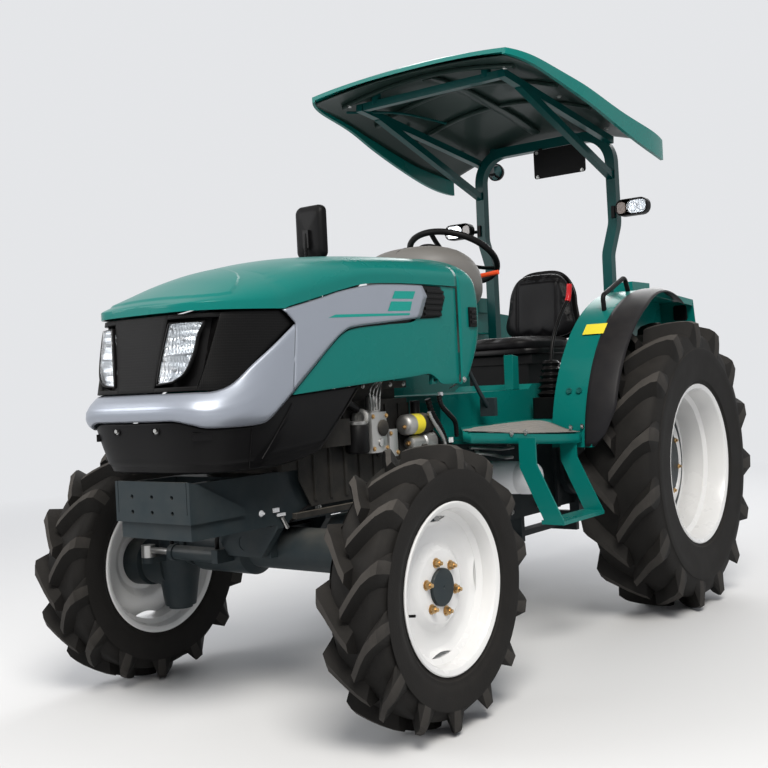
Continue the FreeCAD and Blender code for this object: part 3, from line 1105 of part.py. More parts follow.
# ---- roll bar, canopy and lamps
def roll_bar():
    """Square-tube hoop on two feet, with forward stays that carry the canopy."""
    y = ROPS_Y
    points = [V(-ROPS_LOW_X, y, 740), V(-ROPS_LOW_X, y, 1720), V(-ROPS_HIGH_X, y, 1870),
              V(-ROPS_HIGH_X + 4, y, ROPS_TOP_Z), V(ROPS_HIGH_X - 4, y, ROPS_TOP_Z),
              V(ROPS_HIGH_X, y, 1870), V(ROPS_LOW_X, y, 1720), V(ROPS_LOW_X, y, 740)]
    hoop = square_tube(points, ROPS_TUBE, ROPS_BEND, ALONG_Y)
    parts = []
    for side in (1, -1):
        x = side * (ROPS_HIGH_X - 2)
        brace = square_tube([V(x, y - 10, ROPS_TOP_Z - 225), V(x, -760, ROPS_TOP_Z + 66)],
                            STAY_TUBE, 10, ALONG_X)
        rail = square_tube([V(x, y, ROPS_TOP_Z - 40), V(x, STAY_FRONT_Y - 22, STAY_FRONT_Z - 2)],
                           STAY_TUBE, 10, ALONG_X)
        foot_x = sorted((side * (GEARBOX_HALF_WIDTH + TRUMPET_FLANGE + SEAT_GAP), side * (ROPS_LOW_X + 25)))
        foot = box(*foot_x, y - 45, y + 45, REAR_TYRE_RADIUS + 49, REAR_TYRE_RADIUS + 75)
        parts += [brace, rail, foot]
    bar = box(-ROPS_HIGH_X, ROPS_HIGH_X, STAY_FRONT_Y - STAY_TUBE / 2, STAY_FRONT_Y + STAY_TUBE / 2,
              STAY_FRONT_Z - STAY_TUBE / 2 - 1, STAY_FRONT_Z + STAY_TUBE / 2 - 1)
    roof = canopy().translated(V(0, 0, -SEAT_GAP))
    for side in (1, -1):
        for pad_y, pad_z in ((STAY_FRONT_Y, STAY_FRONT_Z), (y, ROPS_TOP_Z)):
            pad_x = side * (ROPS_HIGH_X - 90)
            stub = cylinder(22, V(pad_x, pad_y, pad_z), V(pad_x, pad_y, pad_z + 170))
            parts.append(lowest_piece(stub.cut(roof)))
    return fuse(hoop, bar, *parts)


def lowest_piece(shape):
    return min(shape.Solids, key=lambda solid: solid.CenterOfMass.z)


# Roof sections: Y, half-width, then heights of ridge and edge above the roll bar's top, and the lip.
CANOPY_RINGS = [(-1090, 515, 152, 126, 8), (-1040, 545, 172, 119, 12), (-820, 578, 190, 97, 28),
                (-575, 606, 186, 58, 46), (-150, 634, 142, -21, 74), (100, 640, 98, -50, 90),
                (240, 628, 64, -69, 82)]


def canopy_ring(y, half, ridge, edge, lip):
    """Closed cross-section of the roof at one Y: crowned above, hollow below, lips turned down."""
    t = CANOPY_SHEET

    def arch(width, drop):
        curve = Part.BSplineCurve()
        shares = (-1, -0.82, -0.5, 0, 0.5, 0.82, 1)
        curve.interpolate([V(width * u, y, ROPS_TOP_Z + edge + (ridge - edge) * (1 - abs(u) ** 2.4) - drop)
                           for u in shares])
        return curve.toShape()
    top = ROPS_TOP_Z + edge
    inner = half - t
    right = Part.makePolygon([V(half, y, top), V(half, y, top - lip - t), V(inner, y, top - lip - t),
                              V(inner, y, top - t)])
    left = Part.makePolygon([V(-inner, y, top - t), V(-inner, y, top - lip - t), V(-half, y, top - lip - t),
                             V(-half, y, top)])
    return Part.Wire([arch(half, 0)] + right.Edges + [arch(inner, t)] + left.Edges)


def canopy():
    """One moulded shell, wider at the back, with its side lips deepening rearwards."""
    return Part.makeLoft([canopy_ring(*ring) for ring in CANOPY_RINGS], True, False)


def lamps():
    """Work lamp on a bracket outside each post, and a tail lamp on each fender's back."""
    pieces = []
    for side in (1, -1):
        x = side * (ROPS_HIGH_X + ROPS_TUBE / 2 + SEAT_GAP)
        arm = box(*sorted((x, x + side * 40)), ROPS_Y - 14, ROPS_Y + 14, 1915, 1925)
        head = cylinder(40, V(x + side * 72, ROPS_Y - 50, 1905), V(x + side * 112, ROPS_Y + 20, 1905))
        bridge = box(*sorted((x + side * 30, x + side * 80)), ROPS_Y - 30, ROPS_Y + 10, 1910, 1925)
        pieces.append(fuse(arm, head, bridge))
        tail_x = side * (FENDER_INNER_X + 80)
        back_y = FENDER_REAR_LOW[0] - 9.1
        low = FENDER_REAR_LOW[1] + 16
        lens = [(back_y + 6, low), (back_y - 9, low + 78), (back_y + 30, low + 78), (back_y + 30, low)]
        pieces.append(plate_yz(lens, *sorted((tail_x, tail_x + side * 70))))
    return pieces


def mirror():
    """Flat mirror on a bent arm at the right of the cowl."""
    x = -COWL_HALF_WIDTH - 2
    y = COWL_REAR_Y - 80
    arm = tube([V(x - 10, y, 1440), V(x - 60, y, 1460), V(x - 70, y - 60, 1700),
                V(x - 76, y - 72, 1800)], 9, 30)
    foot = box(x - 20, x - SEAT_GAP, y - 25, y + 25, 1420, 1462)
    glass = box(x - 150, x - 10, y - 60, y - 38, 1690, 1925)
    return fuse(arm, foot, glass)


def steps():
    """Hanging footstep on each side: two bent flat arms and a tread."""
    pieces = []
    for side in (1, -1):
        parts = []
        for y in (STEP_FRONT_Y, STEP_REAR_Y):
            top = FLOOR_Z - FLOOR_SKIRT
            outline = [(STEP_X - 38, top), (STEP_X + 38, top), (STEP_X + 38, 770),
                       (STEP_X + 148, 545), (STEP_X + 62, 545), (STEP_X - 38, 755)]
            outline = [(side * px, pz) for px, pz in outline]
            parts.append(plate_xz(outline, y, y + STEP_STRAP))
        parts.append(box(*sorted((side * (STEP_X + 50), side * (STEP_X + 150))), STEP_FRONT_Y,
                         STEP_REAR_Y + STEP_STRAP, 530, 546))
        pieces.append(fuse(*parts))
    return pieces


def hydraulic_filter():
    """White canister on the gearbox's left side."""
    start = V(GEARBOX_HALF_WIDTH, -905, 690)
    body = cylinder(70, start + ALONG_X * 60, start + ALONG_X * 230)
    neck = cylinder(34, start, start + ALONG_X * 70)
    dome = cone(70, 46, start + ALONG_X * 230, start + ALONG_X * 250)
    return fuse(body, neck, dome)


# ---- build
for side in ("front_left", "front_right", "rear_left", "rear_right"):
    wheel(side, side.startswith("front"), side.endswith("left"))

export("front_frame", front_frame())
export("weight_bracket", weight_bracket())
export("front_axle", front_axle(), steering_cylinder())
export("left_knuckle", knuckle(True))
export("right_knuckle", knuckle(False))
export("tie_rod", tie_rod())
export("steering_rod", steering_rod())
export("drive_shaft", drive_shaft())
export("engine", engine())
export("engine_side_parts", *engine_side_parts(), radiator())
export("gearbox", gearbox())
export("rear_axle", rear_axle())
export("drawbar", drawbar())
export("lift_arms", lift_arms())
export("left_lift_rod", lift_rod(True))
export("right_lift_rod", lift_rod(False))
export("left_lower_link", lower_link(True))
export("right_lower_link", lower_link(False))
export("top_link", top_link())

hood_top, grille, silver_band, hood_sides = hood_panels()
lamp_zone, lens = headlights()
both_zones = fuse(lamp_zone, mirrored(lamp_zone))
export("hood_top", hood_top)
export("grille", grille.cut(both_zones))
export("silver_band", fuse(silver_band, front_bumper()))
export("hood_sides", hood_sides)
export("headlights", lens, mirrored(lens))
export("lower_cowling", lower_cowling())
export("cowl", cowl())
export("dash", dash())
export("steering_column", steering_column())
export("steering_wheel", steering_wheel())
export("floor_panels", floor_panel(), mirrored(floor_panel()))
export("tunnel_cover", tunnel_cover())
export("seat_base", seat_base())
export("seat_cushion", seat_cushion())
export("seat_back", seat_back())
export("pedals", *pedals())
export("levers", *levers())
export("left_fender", fender())
export("right_fender", mirrored(fender()))
export("fender_trims", fender_trim(), mirrored(fender_trim()))
export("grab_handles", grab_handle(), mirrored(grab_handle()))
export("roll_bar", roll_bar())
export("canopy", canopy())
export("lamps", *lamps())
export("mirror", mirror())
export("steps", *steps())
export("hydraulic_filter", hydraulic_filter())
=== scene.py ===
# %% [markdown]
# # A compact four-wheel-drive tractor
# The tractor comes in as a jointed frame: plain, correctly sized solids that already sit where
# they belong. This lesson dresses it. Each step says what a piece is on the real machine, how it
# could be made in Blender, and why one way was chosen. Everything is in metres, with +X to the
# tractor's left, +Y to its rear and +Z up.

# %% Load the frame
import math
import bmesh
import bpy
import numpy as np
from mathutils import Matrix, Vector


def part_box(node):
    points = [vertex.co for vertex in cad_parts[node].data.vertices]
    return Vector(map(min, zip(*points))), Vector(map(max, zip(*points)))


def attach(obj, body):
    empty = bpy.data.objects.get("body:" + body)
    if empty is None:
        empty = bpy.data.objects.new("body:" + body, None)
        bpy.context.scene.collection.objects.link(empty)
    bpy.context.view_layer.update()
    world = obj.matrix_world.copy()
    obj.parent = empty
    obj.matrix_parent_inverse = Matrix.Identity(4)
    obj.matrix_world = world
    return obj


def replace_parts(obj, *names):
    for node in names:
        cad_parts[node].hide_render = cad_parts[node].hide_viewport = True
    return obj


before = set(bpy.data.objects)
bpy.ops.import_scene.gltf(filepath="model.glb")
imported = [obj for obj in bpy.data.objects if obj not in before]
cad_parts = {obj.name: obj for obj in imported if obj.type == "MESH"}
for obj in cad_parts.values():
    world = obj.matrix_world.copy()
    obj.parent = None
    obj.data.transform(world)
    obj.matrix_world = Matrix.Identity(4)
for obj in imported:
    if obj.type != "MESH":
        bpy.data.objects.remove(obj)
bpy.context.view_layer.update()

# %% [markdown]
# ## Where things are
# All shapes below are drawn from the rear axle, because a tractor is set out from it. The frame
# says where that axle is: halfway along the rear tyre's box.

# %% Reference points
def middle_of(node):
    """Centre of a node's box: the mean of its lowest and highest corners."""
    low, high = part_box(node)
    return (np.array(low) + np.array(high)) / 2


AXLE_Y = float(middle_of("rear_left_tyre")[1])
FRONT_Y = float(middle_of("front_left_tyre")[1]) - AXLE_Y
print("rear axle at y", round(AXLE_Y, 4), "and wheelbase", round(-FRONT_Y, 3))

# %% [markdown]
# ## Shapes as arrays
# A smooth part can be carved with modifiers or drawn as a function. Here it is a function of two
# parameters, worked out on a whole grid at once: rows run along the part, columns across it. A
# shape is then just its points and its faces, and shapes can be joined before any mesh exists.

# %% Grids, lathes, sweeps and prisms
TIP = 1e-5


def grid(points, ring=False, loop=False):
    """Quads between neighbours of a (rows, columns, 3) array; ring closes columns, loop closes rows."""
    rows, cols = points.shape[:2]
    i = np.arange(rows if loop else rows - 1)[:, None]
    j = np.arange(cols if ring else cols - 1)[None, :]
    up, right = (i + 1) % rows, (j + 1) % cols
    quads = np.stack([i * cols + j, i * cols + right, up * cols + right, up * cols + j], -1)
    return points.reshape(-1, 3).astype(float), quads.reshape(-1, 4).tolist()


def joined(*shapes):
    """All shapes in one: points stacked, and each face number moved up by the points before it."""
    points, faces, start = [], [], 0
    for p, f in shapes:
        points.append(p)
        faces += [[k + start for k in face] for face in f]
        start += len(p)
    return np.vstack(points), faces


def moved(shape, offset=(0, 0, 0), turn=None):
    """The shape turned by a 3 by 3 matrix, then shifted."""
    points = shape[0] if turn is None else shape[0] @ np.asarray(turn, float).T
    return points + np.asarray(offset, float), shape[1]


def mirrored(shape):
    """The same shape on the other side: x changes sign, and the faces run the other way."""
    return shape[0] * (-1, 1, 1), [face[::-1] for face in shape[1]]


def both(shape):
    """A shape with its mirror image."""
    return joined(shape, mirrored(shape))


def pairs(parts):
    """Every (shape, material) with its mirror image in the same shape."""
    return [(both(shape), material) for shape, material in parts]


def turned(profile, steps=96, loop=True):
    """A profile of (x, radius) pairs turned about an axle along X: y and z are radius times cos and sin."""
    profile = np.asarray(profile, float)
    a = 2 * math.pi * np.linspace(0, 1, steps, endpoint=False)
    x = np.repeat(profile[:, 0, None], len(a), 1)
    points = np.stack([x, profile[:, 1, None] * np.cos(a), profile[:, 1, None] * np.sin(a)], -1)
    return grid(points, ring=True, loop=loop)


def capped(profile, steps=28, tip=1e-4):
    """A turned shape that is closed at each end by a ring too small to see."""
    return turned([(profile[0][0], tip), *profile, (profile[-1][0], tip)], steps, loop=False)


def pointing(direction, roll=0.0):
    """Matrix whose first column is the direction, so that a shape turned about X points along it."""
    x = np.asarray(direction, float) / np.linalg.norm(direction)
    y = np.cross((0, 0, 1) if abs(x[2]) < 0.9 else (0, 1, 0), x)
    y = y / np.linalg.norm(y)
    z = np.cross(x, y)
    c, s = math.cos(roll), math.sin(roll)
    return np.stack([x, c * y + s * z, c * z - s * y], 1)


def lathe(place, direction, profile, steps=28, tip=1e-4):
    """A turned shape stood at a place, its axis along the direction."""
    return moved(capped(profile, steps, tip), place, pointing(direction))


def rod(start, end, radius, steps=20):
    """A round bar between two points."""
    run = np.subtract(end, start)
    return lathe(start, run, [(0, radius), (np.linalg.norm(run), radius)], steps, TIP)


def nut(place, direction, across=.018, height=.012, stud=0.0):
    """Hexagon nut on a washer, with its stud's end standing out of it: its radius is across over root 3."""
    r = across / math.sqrt(3)
    parts = [capped([(0, across * .8), (.002, across * .8)], 14, TIP),
             capped([(.001, r), (height * .85, r), (height, r * .86)], 6, TIP)]
    if stud:
        parts.append(capped([(.001, across * .3), (height + stud, across * .3)], 10, TIP))
    return moved(joined(*parts), place, pointing(direction, .3))


def smooth_line(points, steps=12):
    """Catmull-Rom curve through the points: each span is a cubic set by its two neighbours."""
    p = np.asarray(points, float)
    p = np.vstack([2 * p[0] - p[1], p, 2 * p[-1] - p[-2]])
    t = np.linspace(0, 1, steps, endpoint=False)[None, :, None]
    a, b, c, d = (p[i:len(p) - 3 + i][:, None] for i in range(4))
    curve = b + .5 * t * (c - a + t * (2 * a - 5 * b + 4 * c - d + t * (3 * (b - c) + d - a)))
    return np.vstack([curve.reshape(-1, p.shape[1]), p[-2]])


def swept(path, section, up=(0, 0, 1), closed=False):
    """A flat outline carried along a path: its first axis lies sideways, its second as near up as it can."""
    path, section = np.asarray(path, float), np.asarray(section, float)
    if closed:
        along = np.roll(path, -1, 0) - np.roll(path, 1, 0)
    else:
        along = np.gradient(path, axis=0)
    along /= np.linalg.norm(along, axis=1)[:, None]
    side = np.cross(along, np.broadcast_to(np.asarray(up, float), along.shape))
    side /= np.linalg.norm(side, axis=1)[:, None]
    rise = np.cross(side, along)
    if section.ndim == 2:
        section = np.broadcast_to(section, (len(path),) + section.shape)
    points = path[:, None] + section[..., :1] * side[:, None] + section[..., 1:] * rise[:, None]
    shape = grid(points, ring=True, loop=closed)
    if closed:
        return shape
    m = section.shape[1]
    last = (len(path) - 1) * m
    return shape[0], shape[1] + [list(range(m))[::-1], list(range(last, last + m))]


def follow(line, place):
    """Height of the smooth curve through (place, height) pairs."""
    return np.interp(place, *smooth_line(line, 6).T)


def round_section(radius, steps=12):
    """Outline of a circle."""
    a = 2 * math.pi * np.arange(steps) / steps
    return radius * np.stack([np.cos(a), np.sin(a)], 1)


def soft_rectangle(width, height, corner, steps=5):
    """Outline of a rectangle with round corners, centred on zero."""
    a = np.linspace(0, math.pi / 2, steps)
    quarter = corner * np.stack([np.cos(a), np.sin(a)], 1) + (width / 2 - corner, height / 2 - corner)
    flip = quarter[::-1] * (-1, 1)
    return np.vstack([quarter, flip, -quarter, -flip])


def layers(outline, steps, plane):
    """Rings of one outline, each scaled and put at its own place along the axis that plane names."""
    rows = [np.insert(outline * scale, plane, place, 1) for scale, place in steps]
    return grid(np.stack(rows), ring=True)


def tube(points, radius, steps=14):
    """A round hose, pipe or bent bar through the points."""
    return swept(smooth_line(points, 8), round_section(radius, steps))


def prism(outline, low, high, axis=0):
    """A flat outline made thick along one axis; its two numbers are the other axes in order."""
    outline = np.asarray(outline, float)
    n = len(outline)
    two = np.vstack([np.insert(outline, axis, low, 1), np.insert(outline, axis, high, 1)])
    sides = [[k, (k + 1) % n, n + (k + 1) % n, n + k] for k in range(n)]
    return two, sides + [list(range(n))[::-1], list(range(n, 2 * n))]


def block(x0, x1, y0, y1, z0, z1):
    """A box between two values of each coordinate."""
    return prism([(y0, z0), (y1, z0), (y1, z1), (y0, z1)], x0, x1)


def slab(size, place, turn=None):
    """A box of this size with its centre at the place."""
    x, y, z = np.divide(size, 2)
    return moved(block(-x, x, -y, y, -z, z), place, turn)


# %% [markdown]
# ## From shape to piece
# A piece is a mesh that rides on one moving body and takes one of the finishes below. Doubles are
# merged and the faces are turned outwards here, once for all of them. A small Bevel modifier
# breaks the edges, because a real edge always catches a line of light.

# %% Make a piece
def piece(name, parts, body, bevel=0.0, sharp=32, thickness=0.0):
    """One object from (shape, material) pairs, drawn from the rear axle and moved into the frame."""
    points, faces = joined(*[shape for shape, _ in parts])
    mesh = bpy.data.meshes.new(name)
    mesh.from_pydata((points + (0, AXLE_Y, 0)).tolist(), [], faces)
    materials = list(dict.fromkeys(material for _, material in parts))
    for material in materials:
        mesh.materials.append(FINISH[material])
    index = np.repeat([materials.index(m) for _, m in parts], [len(shape[1]) for shape, _ in parts])
    mesh.polygons.foreach_set("material_index", index.astype(np.int32))
    work = bmesh.new()
    work.from_mesh(mesh)
    bmesh.ops.remove_doubles(work, verts=work.verts, dist=2 * TIP)
    bmesh.ops.recalc_face_normals(work, faces=work.faces)
    work.to_mesh(mesh)
    work.free()
    mesh.polygons.foreach_set("use_smooth", np.ones(len(mesh.polygons), bool))
    mesh.set_sharp_from_angle(angle=math.radians(sharp))
    thing = bpy.data.objects.new(name, mesh)
    bpy.context.collection.objects.link(thing)
    if thickness:
        wall = thing.modifiers.new("wall", "SOLIDIFY")
        wall.thickness, wall.offset, wall.use_even_offset = thickness, -1, True
    if bevel:
        edge = thing.modifiers.new("edge", "BEVEL")
        edge.width, edge.segments = bevel, 2
        edge.limit_method, edge.angle_limit = "ANGLE", math.radians(40)
    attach(thing, body)
    return thing

# %% [markdown]
# ## Shared effects
# Paint, castings, plastic and rubber all share three effects: the colour wanders a little, fine
# grain catches the light, and dust settles on what faces up. Each effect is a node group with its
# own sockets, built once, so every finish can use it with its own values.

# %% Node groups
def node_group(name, inputs, outputs):
    """An empty shader group; inputs are (name, kind, value) and outputs (name, kind)."""
    group = bpy.data.node_groups.new(name, "ShaderNodeTree")
    for label, kind, value in inputs:
        socket = group.interface.new_socket(name=label, in_out="INPUT", socket_type="NodeSocket" + kind)
        socket.default_value = value
    for label, kind in outputs:
        group.interface.new_socket(name=label, in_out="OUTPUT", socket_type="NodeSocket" + kind)
    return group, group.nodes.new("NodeGroupInput"), group.nodes.new("NodeGroupOutput")


def link(tree, source, target):
    """Joins an output socket to an input socket."""
    tree.links.new(source, target)


def settle(node, **values):
    """Sets input sockets by name, an underscore standing for a space, and gives the node back."""
    for label, value in values.items():
        node.inputs[label.replace("_", " ")].default_value = value
    return node


def math_node(tree, operation, *values, clamp=False):
    """One Math node; its values may be sockets or plain numbers."""
    node = tree.nodes.new("ShaderNodeMath")
    node.operation, node.use_clamp = operation, clamp
    for socket, value in zip(node.inputs, values):
        if isinstance(value, (int, float)):
            socket.default_value = value
        else:
            link(tree, value, socket)
    return node.outputs[0]


def noise(tree, scale, detail=3.0):
    """Noise on Object coordinates, which are metres here; scale is a number or a socket."""
    where = tree.nodes.new("ShaderNodeTexCoord")
    node = tree.nodes.new("ShaderNodeTexNoise")
    link(tree, where.outputs["Object"], node.inputs["Vector"])
    node.inputs["Detail"].default_value = detail
    if isinstance(scale, (int, float)):
        node.inputs["Scale"].default_value = scale
    else:
        link(tree, scale, node.inputs["Scale"])
    return node.outputs["Fac"]


def mixed(tree, factor, a, b):
    """Blend of two colours by a factor."""
    node = tree.nodes.new("ShaderNodeMix")
    node.data_type = "RGBA"
    link(tree, factor, node.inputs["Factor"])
    for socket, value in zip(node.inputs[6:8], (a, b)):
        if isinstance(value, tuple):
            socket.default_value = value
        else:
            link(tree, value, socket)
    return node.outputs[2]


LOOK = [("Color", "Color", (.5, .5, .5, 1)), ("Roughness", "Float", .4)]
LOOK_OUT = [("Color", "Color"), ("Roughness", "Float")]
wander, into, out = node_group("wander", LOOK + [("Amount", "Float", .1), ("Scale", "Float", 6.0)], LOOK_OUT)
patchy = noise(wander, into.outputs["Scale"])
centred = math_node(wander, "SUBTRACT", patchy, .5)
swing = math_node(wander, "MULTIPLY", centred, into.outputs["Amount"])
shade = wander.nodes.new("ShaderNodeHueSaturation")
link(wander, into.outputs["Color"], shade.inputs["Color"])
link(wander, math_node(wander, "MULTIPLY_ADD", swing, 2.0, 1.0), shade.inputs["Value"])
link(wander, shade.outputs["Color"], out.inputs["Color"])
link(wander, math_node(wander, "ADD", swing, into.outputs["Roughness"]), out.inputs["Roughness"])

grain, into, out = node_group("grain", [("Scale", "Float", 400.0), ("Height", "Float", .0002)],
                              [("Normal", "Vector")])
bump = settle(grain.nodes.new("ShaderNodeBump"), Strength=1.0)
link(grain, noise(grain, into.outputs["Scale"], 2.0), bump.inputs["Height"])
link(grain, into.outputs["Height"], bump.inputs["Distance"])
link(grain, bump.outputs["Normal"], out.inputs["Normal"])

dust, into, out = node_group("dust", LOOK + [("Dust", "Color", (.3, .26, .21, 1)), ("Amount", "Float", .3)],
                             LOOK_OUT)
facing = dust.nodes.new("ShaderNodeNewGeometry")
split = dust.nodes.new("ShaderNodeSeparateXYZ")
link(dust, facing.outputs["Normal"], split.inputs[0])
upward = math_node(dust, "MAXIMUM", split.outputs["Z"], 0.0)
blotch = math_node(dust, "MULTIPLY", noise(dust, 14.0, 5.0), math_node(dust, "ADD", upward, .35))
film = math_node(dust, "MULTIPLY", blotch, into.outputs["Amount"], clamp=True)
link(dust, mixed(dust, film, into.outputs["Color"], into.outputs["Dust"]), out.inputs["Color"])
duller = math_node(dust, "MULTIPLY", film, .5)
link(dust, math_node(dust, "ADD", into.outputs["Roughness"], duller, clamp=True), out.inputs["Roughness"])

# %% [markdown]
# ## Finishes
# One function makes every finish from the same parts: a base colour that wanders, dust over it,
# and grain in the normal. What is the same all over, such as metal or clear coat, is set on the
# shader itself. The colours are those of a new machine that has stood outdoors for a few weeks.

# %% One finish
FINISH = {}


def finish(name, color, rough, metal=0.0, coat=0.0, amount=.06, scale=5.0, bump=(400.0, .00005), dusty=.15,
           dirt=(.30, .26, .21), sheen=0.0):
    """Principled material: colour through wander, then dust; grain on the normal."""
    material = bpy.data.materials.new(name)
    material.use_nodes = True
    tree = material.node_tree
    shader = settle(tree.nodes["Principled BSDF"], Metallic=metal, Coat_Weight=coat, Coat_Roughness=.06,
                    Sheen_Weight=sheen, Specular_IOR_Level=.5 if min(color) > .05 else .10)

    def place(group, **values):
        """A copy of a shared group with its own values."""
        node = tree.nodes.new("ShaderNodeGroup")
        node.node_tree = group
        return settle(node, **values)

    base = place(wander, Color=(*color, 1), Amount=amount, Scale=scale, Roughness=rough)
    film = place(dust, Amount=dusty, Dust=(*dirt, 1))
    fine = place(grain, Scale=bump[0], Height=bump[1])
    for source, label, target in ((base, "Color", film.inputs["Color"]),
                                  (base, "Roughness", film.inputs["Roughness"]),
                                  (film, "Color", shader.inputs["Base Color"]),
                                  (film, "Roughness", shader.inputs["Roughness"]),
                                  (fine, "Normal", shader.inputs["Normal"])):
        link(tree, source.outputs[label], target)
    FINISH[name] = material
    return material


finish("teal_gloss", (.0, .138, .120), .27, coat=.10, amount=.05, scale=2.2, bump=(180.0, .00001), dusty=.04)
# A darker copy of the teal paint: painted shade, used on the floor braces, the cowl's bracket and the
# fender's rings.
finish("teal_painted_shade", (.0, .080, .072), .30, coat=.08, amount=.08, scale=3.0, bump=(200.0, .00002), dusty=.10)
finish("lining_grey", (.014, .030, .026), .38, coat=.08, amount=.10, bump=(120.0, .0001), dusty=.05)
finish("silver_metallic", (.29, .315, .365), .38, metal=.55, coat=.10, amount=.04, bump=(900.0, .000012),
       dusty=.04)
finish("blue_green", (.0, .050, .048), .30, coat=.08, amount=.08, bump=(260.0, .00002), dusty=.03)
finish("slate_paint", (.013, .022, .027), .42, coat=.05, amount=.14, bump=(220.0, .00009), dusty=.20)
finish("dark_casting", (.006, .0075, .009), .55, amount=.22, bump=(130.0, .00035), dusty=.45)
finish("white_gloss", (.66, .66, .655), .26, coat=.45, amount=.03, bump=(200.0, .00002), dusty=.06)
finish("black_plastic", (.0045, .0045, .005), .44, amount=.10, bump=(700.0, .00006), dusty=.02)
finish("black_satin", (.004, .004, .0045), .30, amount=.10, bump=(500.0, .00002), dusty=.02)
finish("grey_plastic", (.120, .115, .108), .52, amount=.05, bump=(900.0, .00008), dusty=.10)
finish("white_plastic", (.74, .75, .77), .34, coat=.2, amount=.03, dusty=.06)
finish("rubber", (.0100, .0096, .0092), .66, amount=.22, scale=9.0, bump=(160.0, .0005), dusty=.14,
       dirt=(.13, .115, .10))
finish("worn_rubber", (.030, .028, .026), .78, amount=.25, scale=30.0, bump=(190.0, .0006), dusty=.26,
       dirt=(.19, .17, .15))
finish("rubber_trim", (.009, .009, .011), .42, amount=.10, bump=(600.0, .00005), dusty=.06)
finish("mat_rubber", (.15, .145, .14), .70, amount=.10, bump=(500.0, .0002), dusty=.45)
finish("seat_vinyl", (.004, .004, .005), .38, amount=.08, bump=(1100.0, .00022), dusty=.03, sheen=.01)
finish("bare_steel", (.42, .42, .41), .34, metal=1.0, amount=.12, bump=(300.0, .00005), dusty=.15)
finish("cast_aluminium", (.40, .40, .39), .46, metal=.9, amount=.14, bump=(180.0, .0003), dusty=.25)
finish("gold_zinc", (.50, .33, .15), .30, metal=.95, amount=.40, scale=60.0, dusty=.10)
finish("orange_plastic", (.72, .075, .018), .38, coat=.2, amount=.04, dusty=.04)
finish("red_plastic", (.48, .012, .016), .36, coat=.2, amount=.05, dusty=.04)
finish("yellow_film", (.74, .62, .04), .42, amount=.03, dusty=.05)
finish("lilac_film", (.42, .36, .48), .45, amount=.03, dusty=.05)
finish("green_film", (.0, .24, .20), .36, coat=.3, amount=.03, dusty=.03)
finish("lamp_silver", (.62, .64, .66), .28, metal=.7, amount=.05, dusty=.0)
finish("chrome", (.70, .72, .74), .16, metal=1.0, amount=.03, dusty=.0)
finish("mirror_glass", (.80, .82, .84), .03, metal=1.0, amount=.0, bump=(50.0, .0), dusty=.0)
finish("tinted_lens", (.15, .115, .10), .20, coat=.5, amount=.20, scale=60.0, dusty=.02)
finish("amber_lens", (.60, .17, .01), .22, coat=.6, amount=.02, dusty=.02)
finish("red_lens", (.34, .008, .008), .20, coat=.6, amount=.02, dusty=.02)
print("finishes:", len(FINISH))

# %% [markdown]
# Clear mouldings are real glass shaders: plain metal and transmission values on the socket, a
# little roughness, and a fine ripple for the flutes inside the lens. The grille is a thin plastic
# mesh, drawn as a grid of square holes that are deeper than the webs between them. The holes are
# painted darker as shade.

# %% Clear lenses and the grille's mesh
clear = bpy.data.materials.new("clear_lens")
clear.use_nodes = True
glass = settle(clear.node_tree.nodes["Principled BSDF"], Base_Color=(.93, .95, .97, 1), Roughness=.04,
               IOR=1.46, Transmission_Weight=1.0)
ripple = settle(clear.node_tree.nodes.new("ShaderNodeBump"), Distance=.0006)
link(clear.node_tree, noise(clear.node_tree, 120.0, 1.0), ripple.inputs["Height"])
link(clear.node_tree, ripple.outputs["Normal"], glass.inputs["Normal"])
FINISH["clear_lens"] = clear

HOLE_PITCH = .0085


def holes_with_painted_shade(material):
    """Square holes between webs, painted darker as shade: a hole is where the smaller of two sine waves is
    high.
    """
    tree = material.node_tree
    shader = tree.nodes["Principled BSDF"]
    where = tree.nodes.new("ShaderNodeTexCoord")
    parts = tree.nodes.new("ShaderNodeSeparateXYZ")
    link(tree, where.outputs["Object"], parts.inputs[0])
    diagonal = math_node(tree, "ADD", parts.outputs["X"], parts.outputs["Y"])
    waves = []
    for axis in (diagonal, parts.outputs["Z"]):
        wave = math_node(tree, "SINE", math_node(tree, "MULTIPLY", axis, math.pi / HOLE_PITCH))
        waves.append(math_node(tree, "ABSOLUTE", wave))
    hole = math_node(tree, "MINIMUM", *waves)
    web = math_node(tree, "GREATER_THAN", .42, hole)
    dent = settle(tree.nodes.new("ShaderNodeBump"), Distance=.0015)
    link(tree, web, dent.inputs["Height"])
    link(tree, shader.inputs["Normal"].links[0].from_socket, dent.inputs["Normal"])
    link(tree, dent.outputs["Normal"], shader.inputs["Normal"])
    # The holes' near-black colour is painted shade for the dark space behind the mesh.
    link(tree, mixed(tree, web, (.002, .002, .002, 1), shader.inputs["Base Color"].links[0].from_socket),
         shader.inputs["Base Color"])


holes_with_painted_shade(finish("grille_mesh", (.0055, .0055, .006), .50, amount=.08, bump=(600.0, .00004), dusty=.02))

# %% [markdown]
# ## Finishes on the solid parts
# Most castings, bars and brackets are already the right shape, so they only need a better finish.
# The table names one for each node; pieces made later cover some of them.

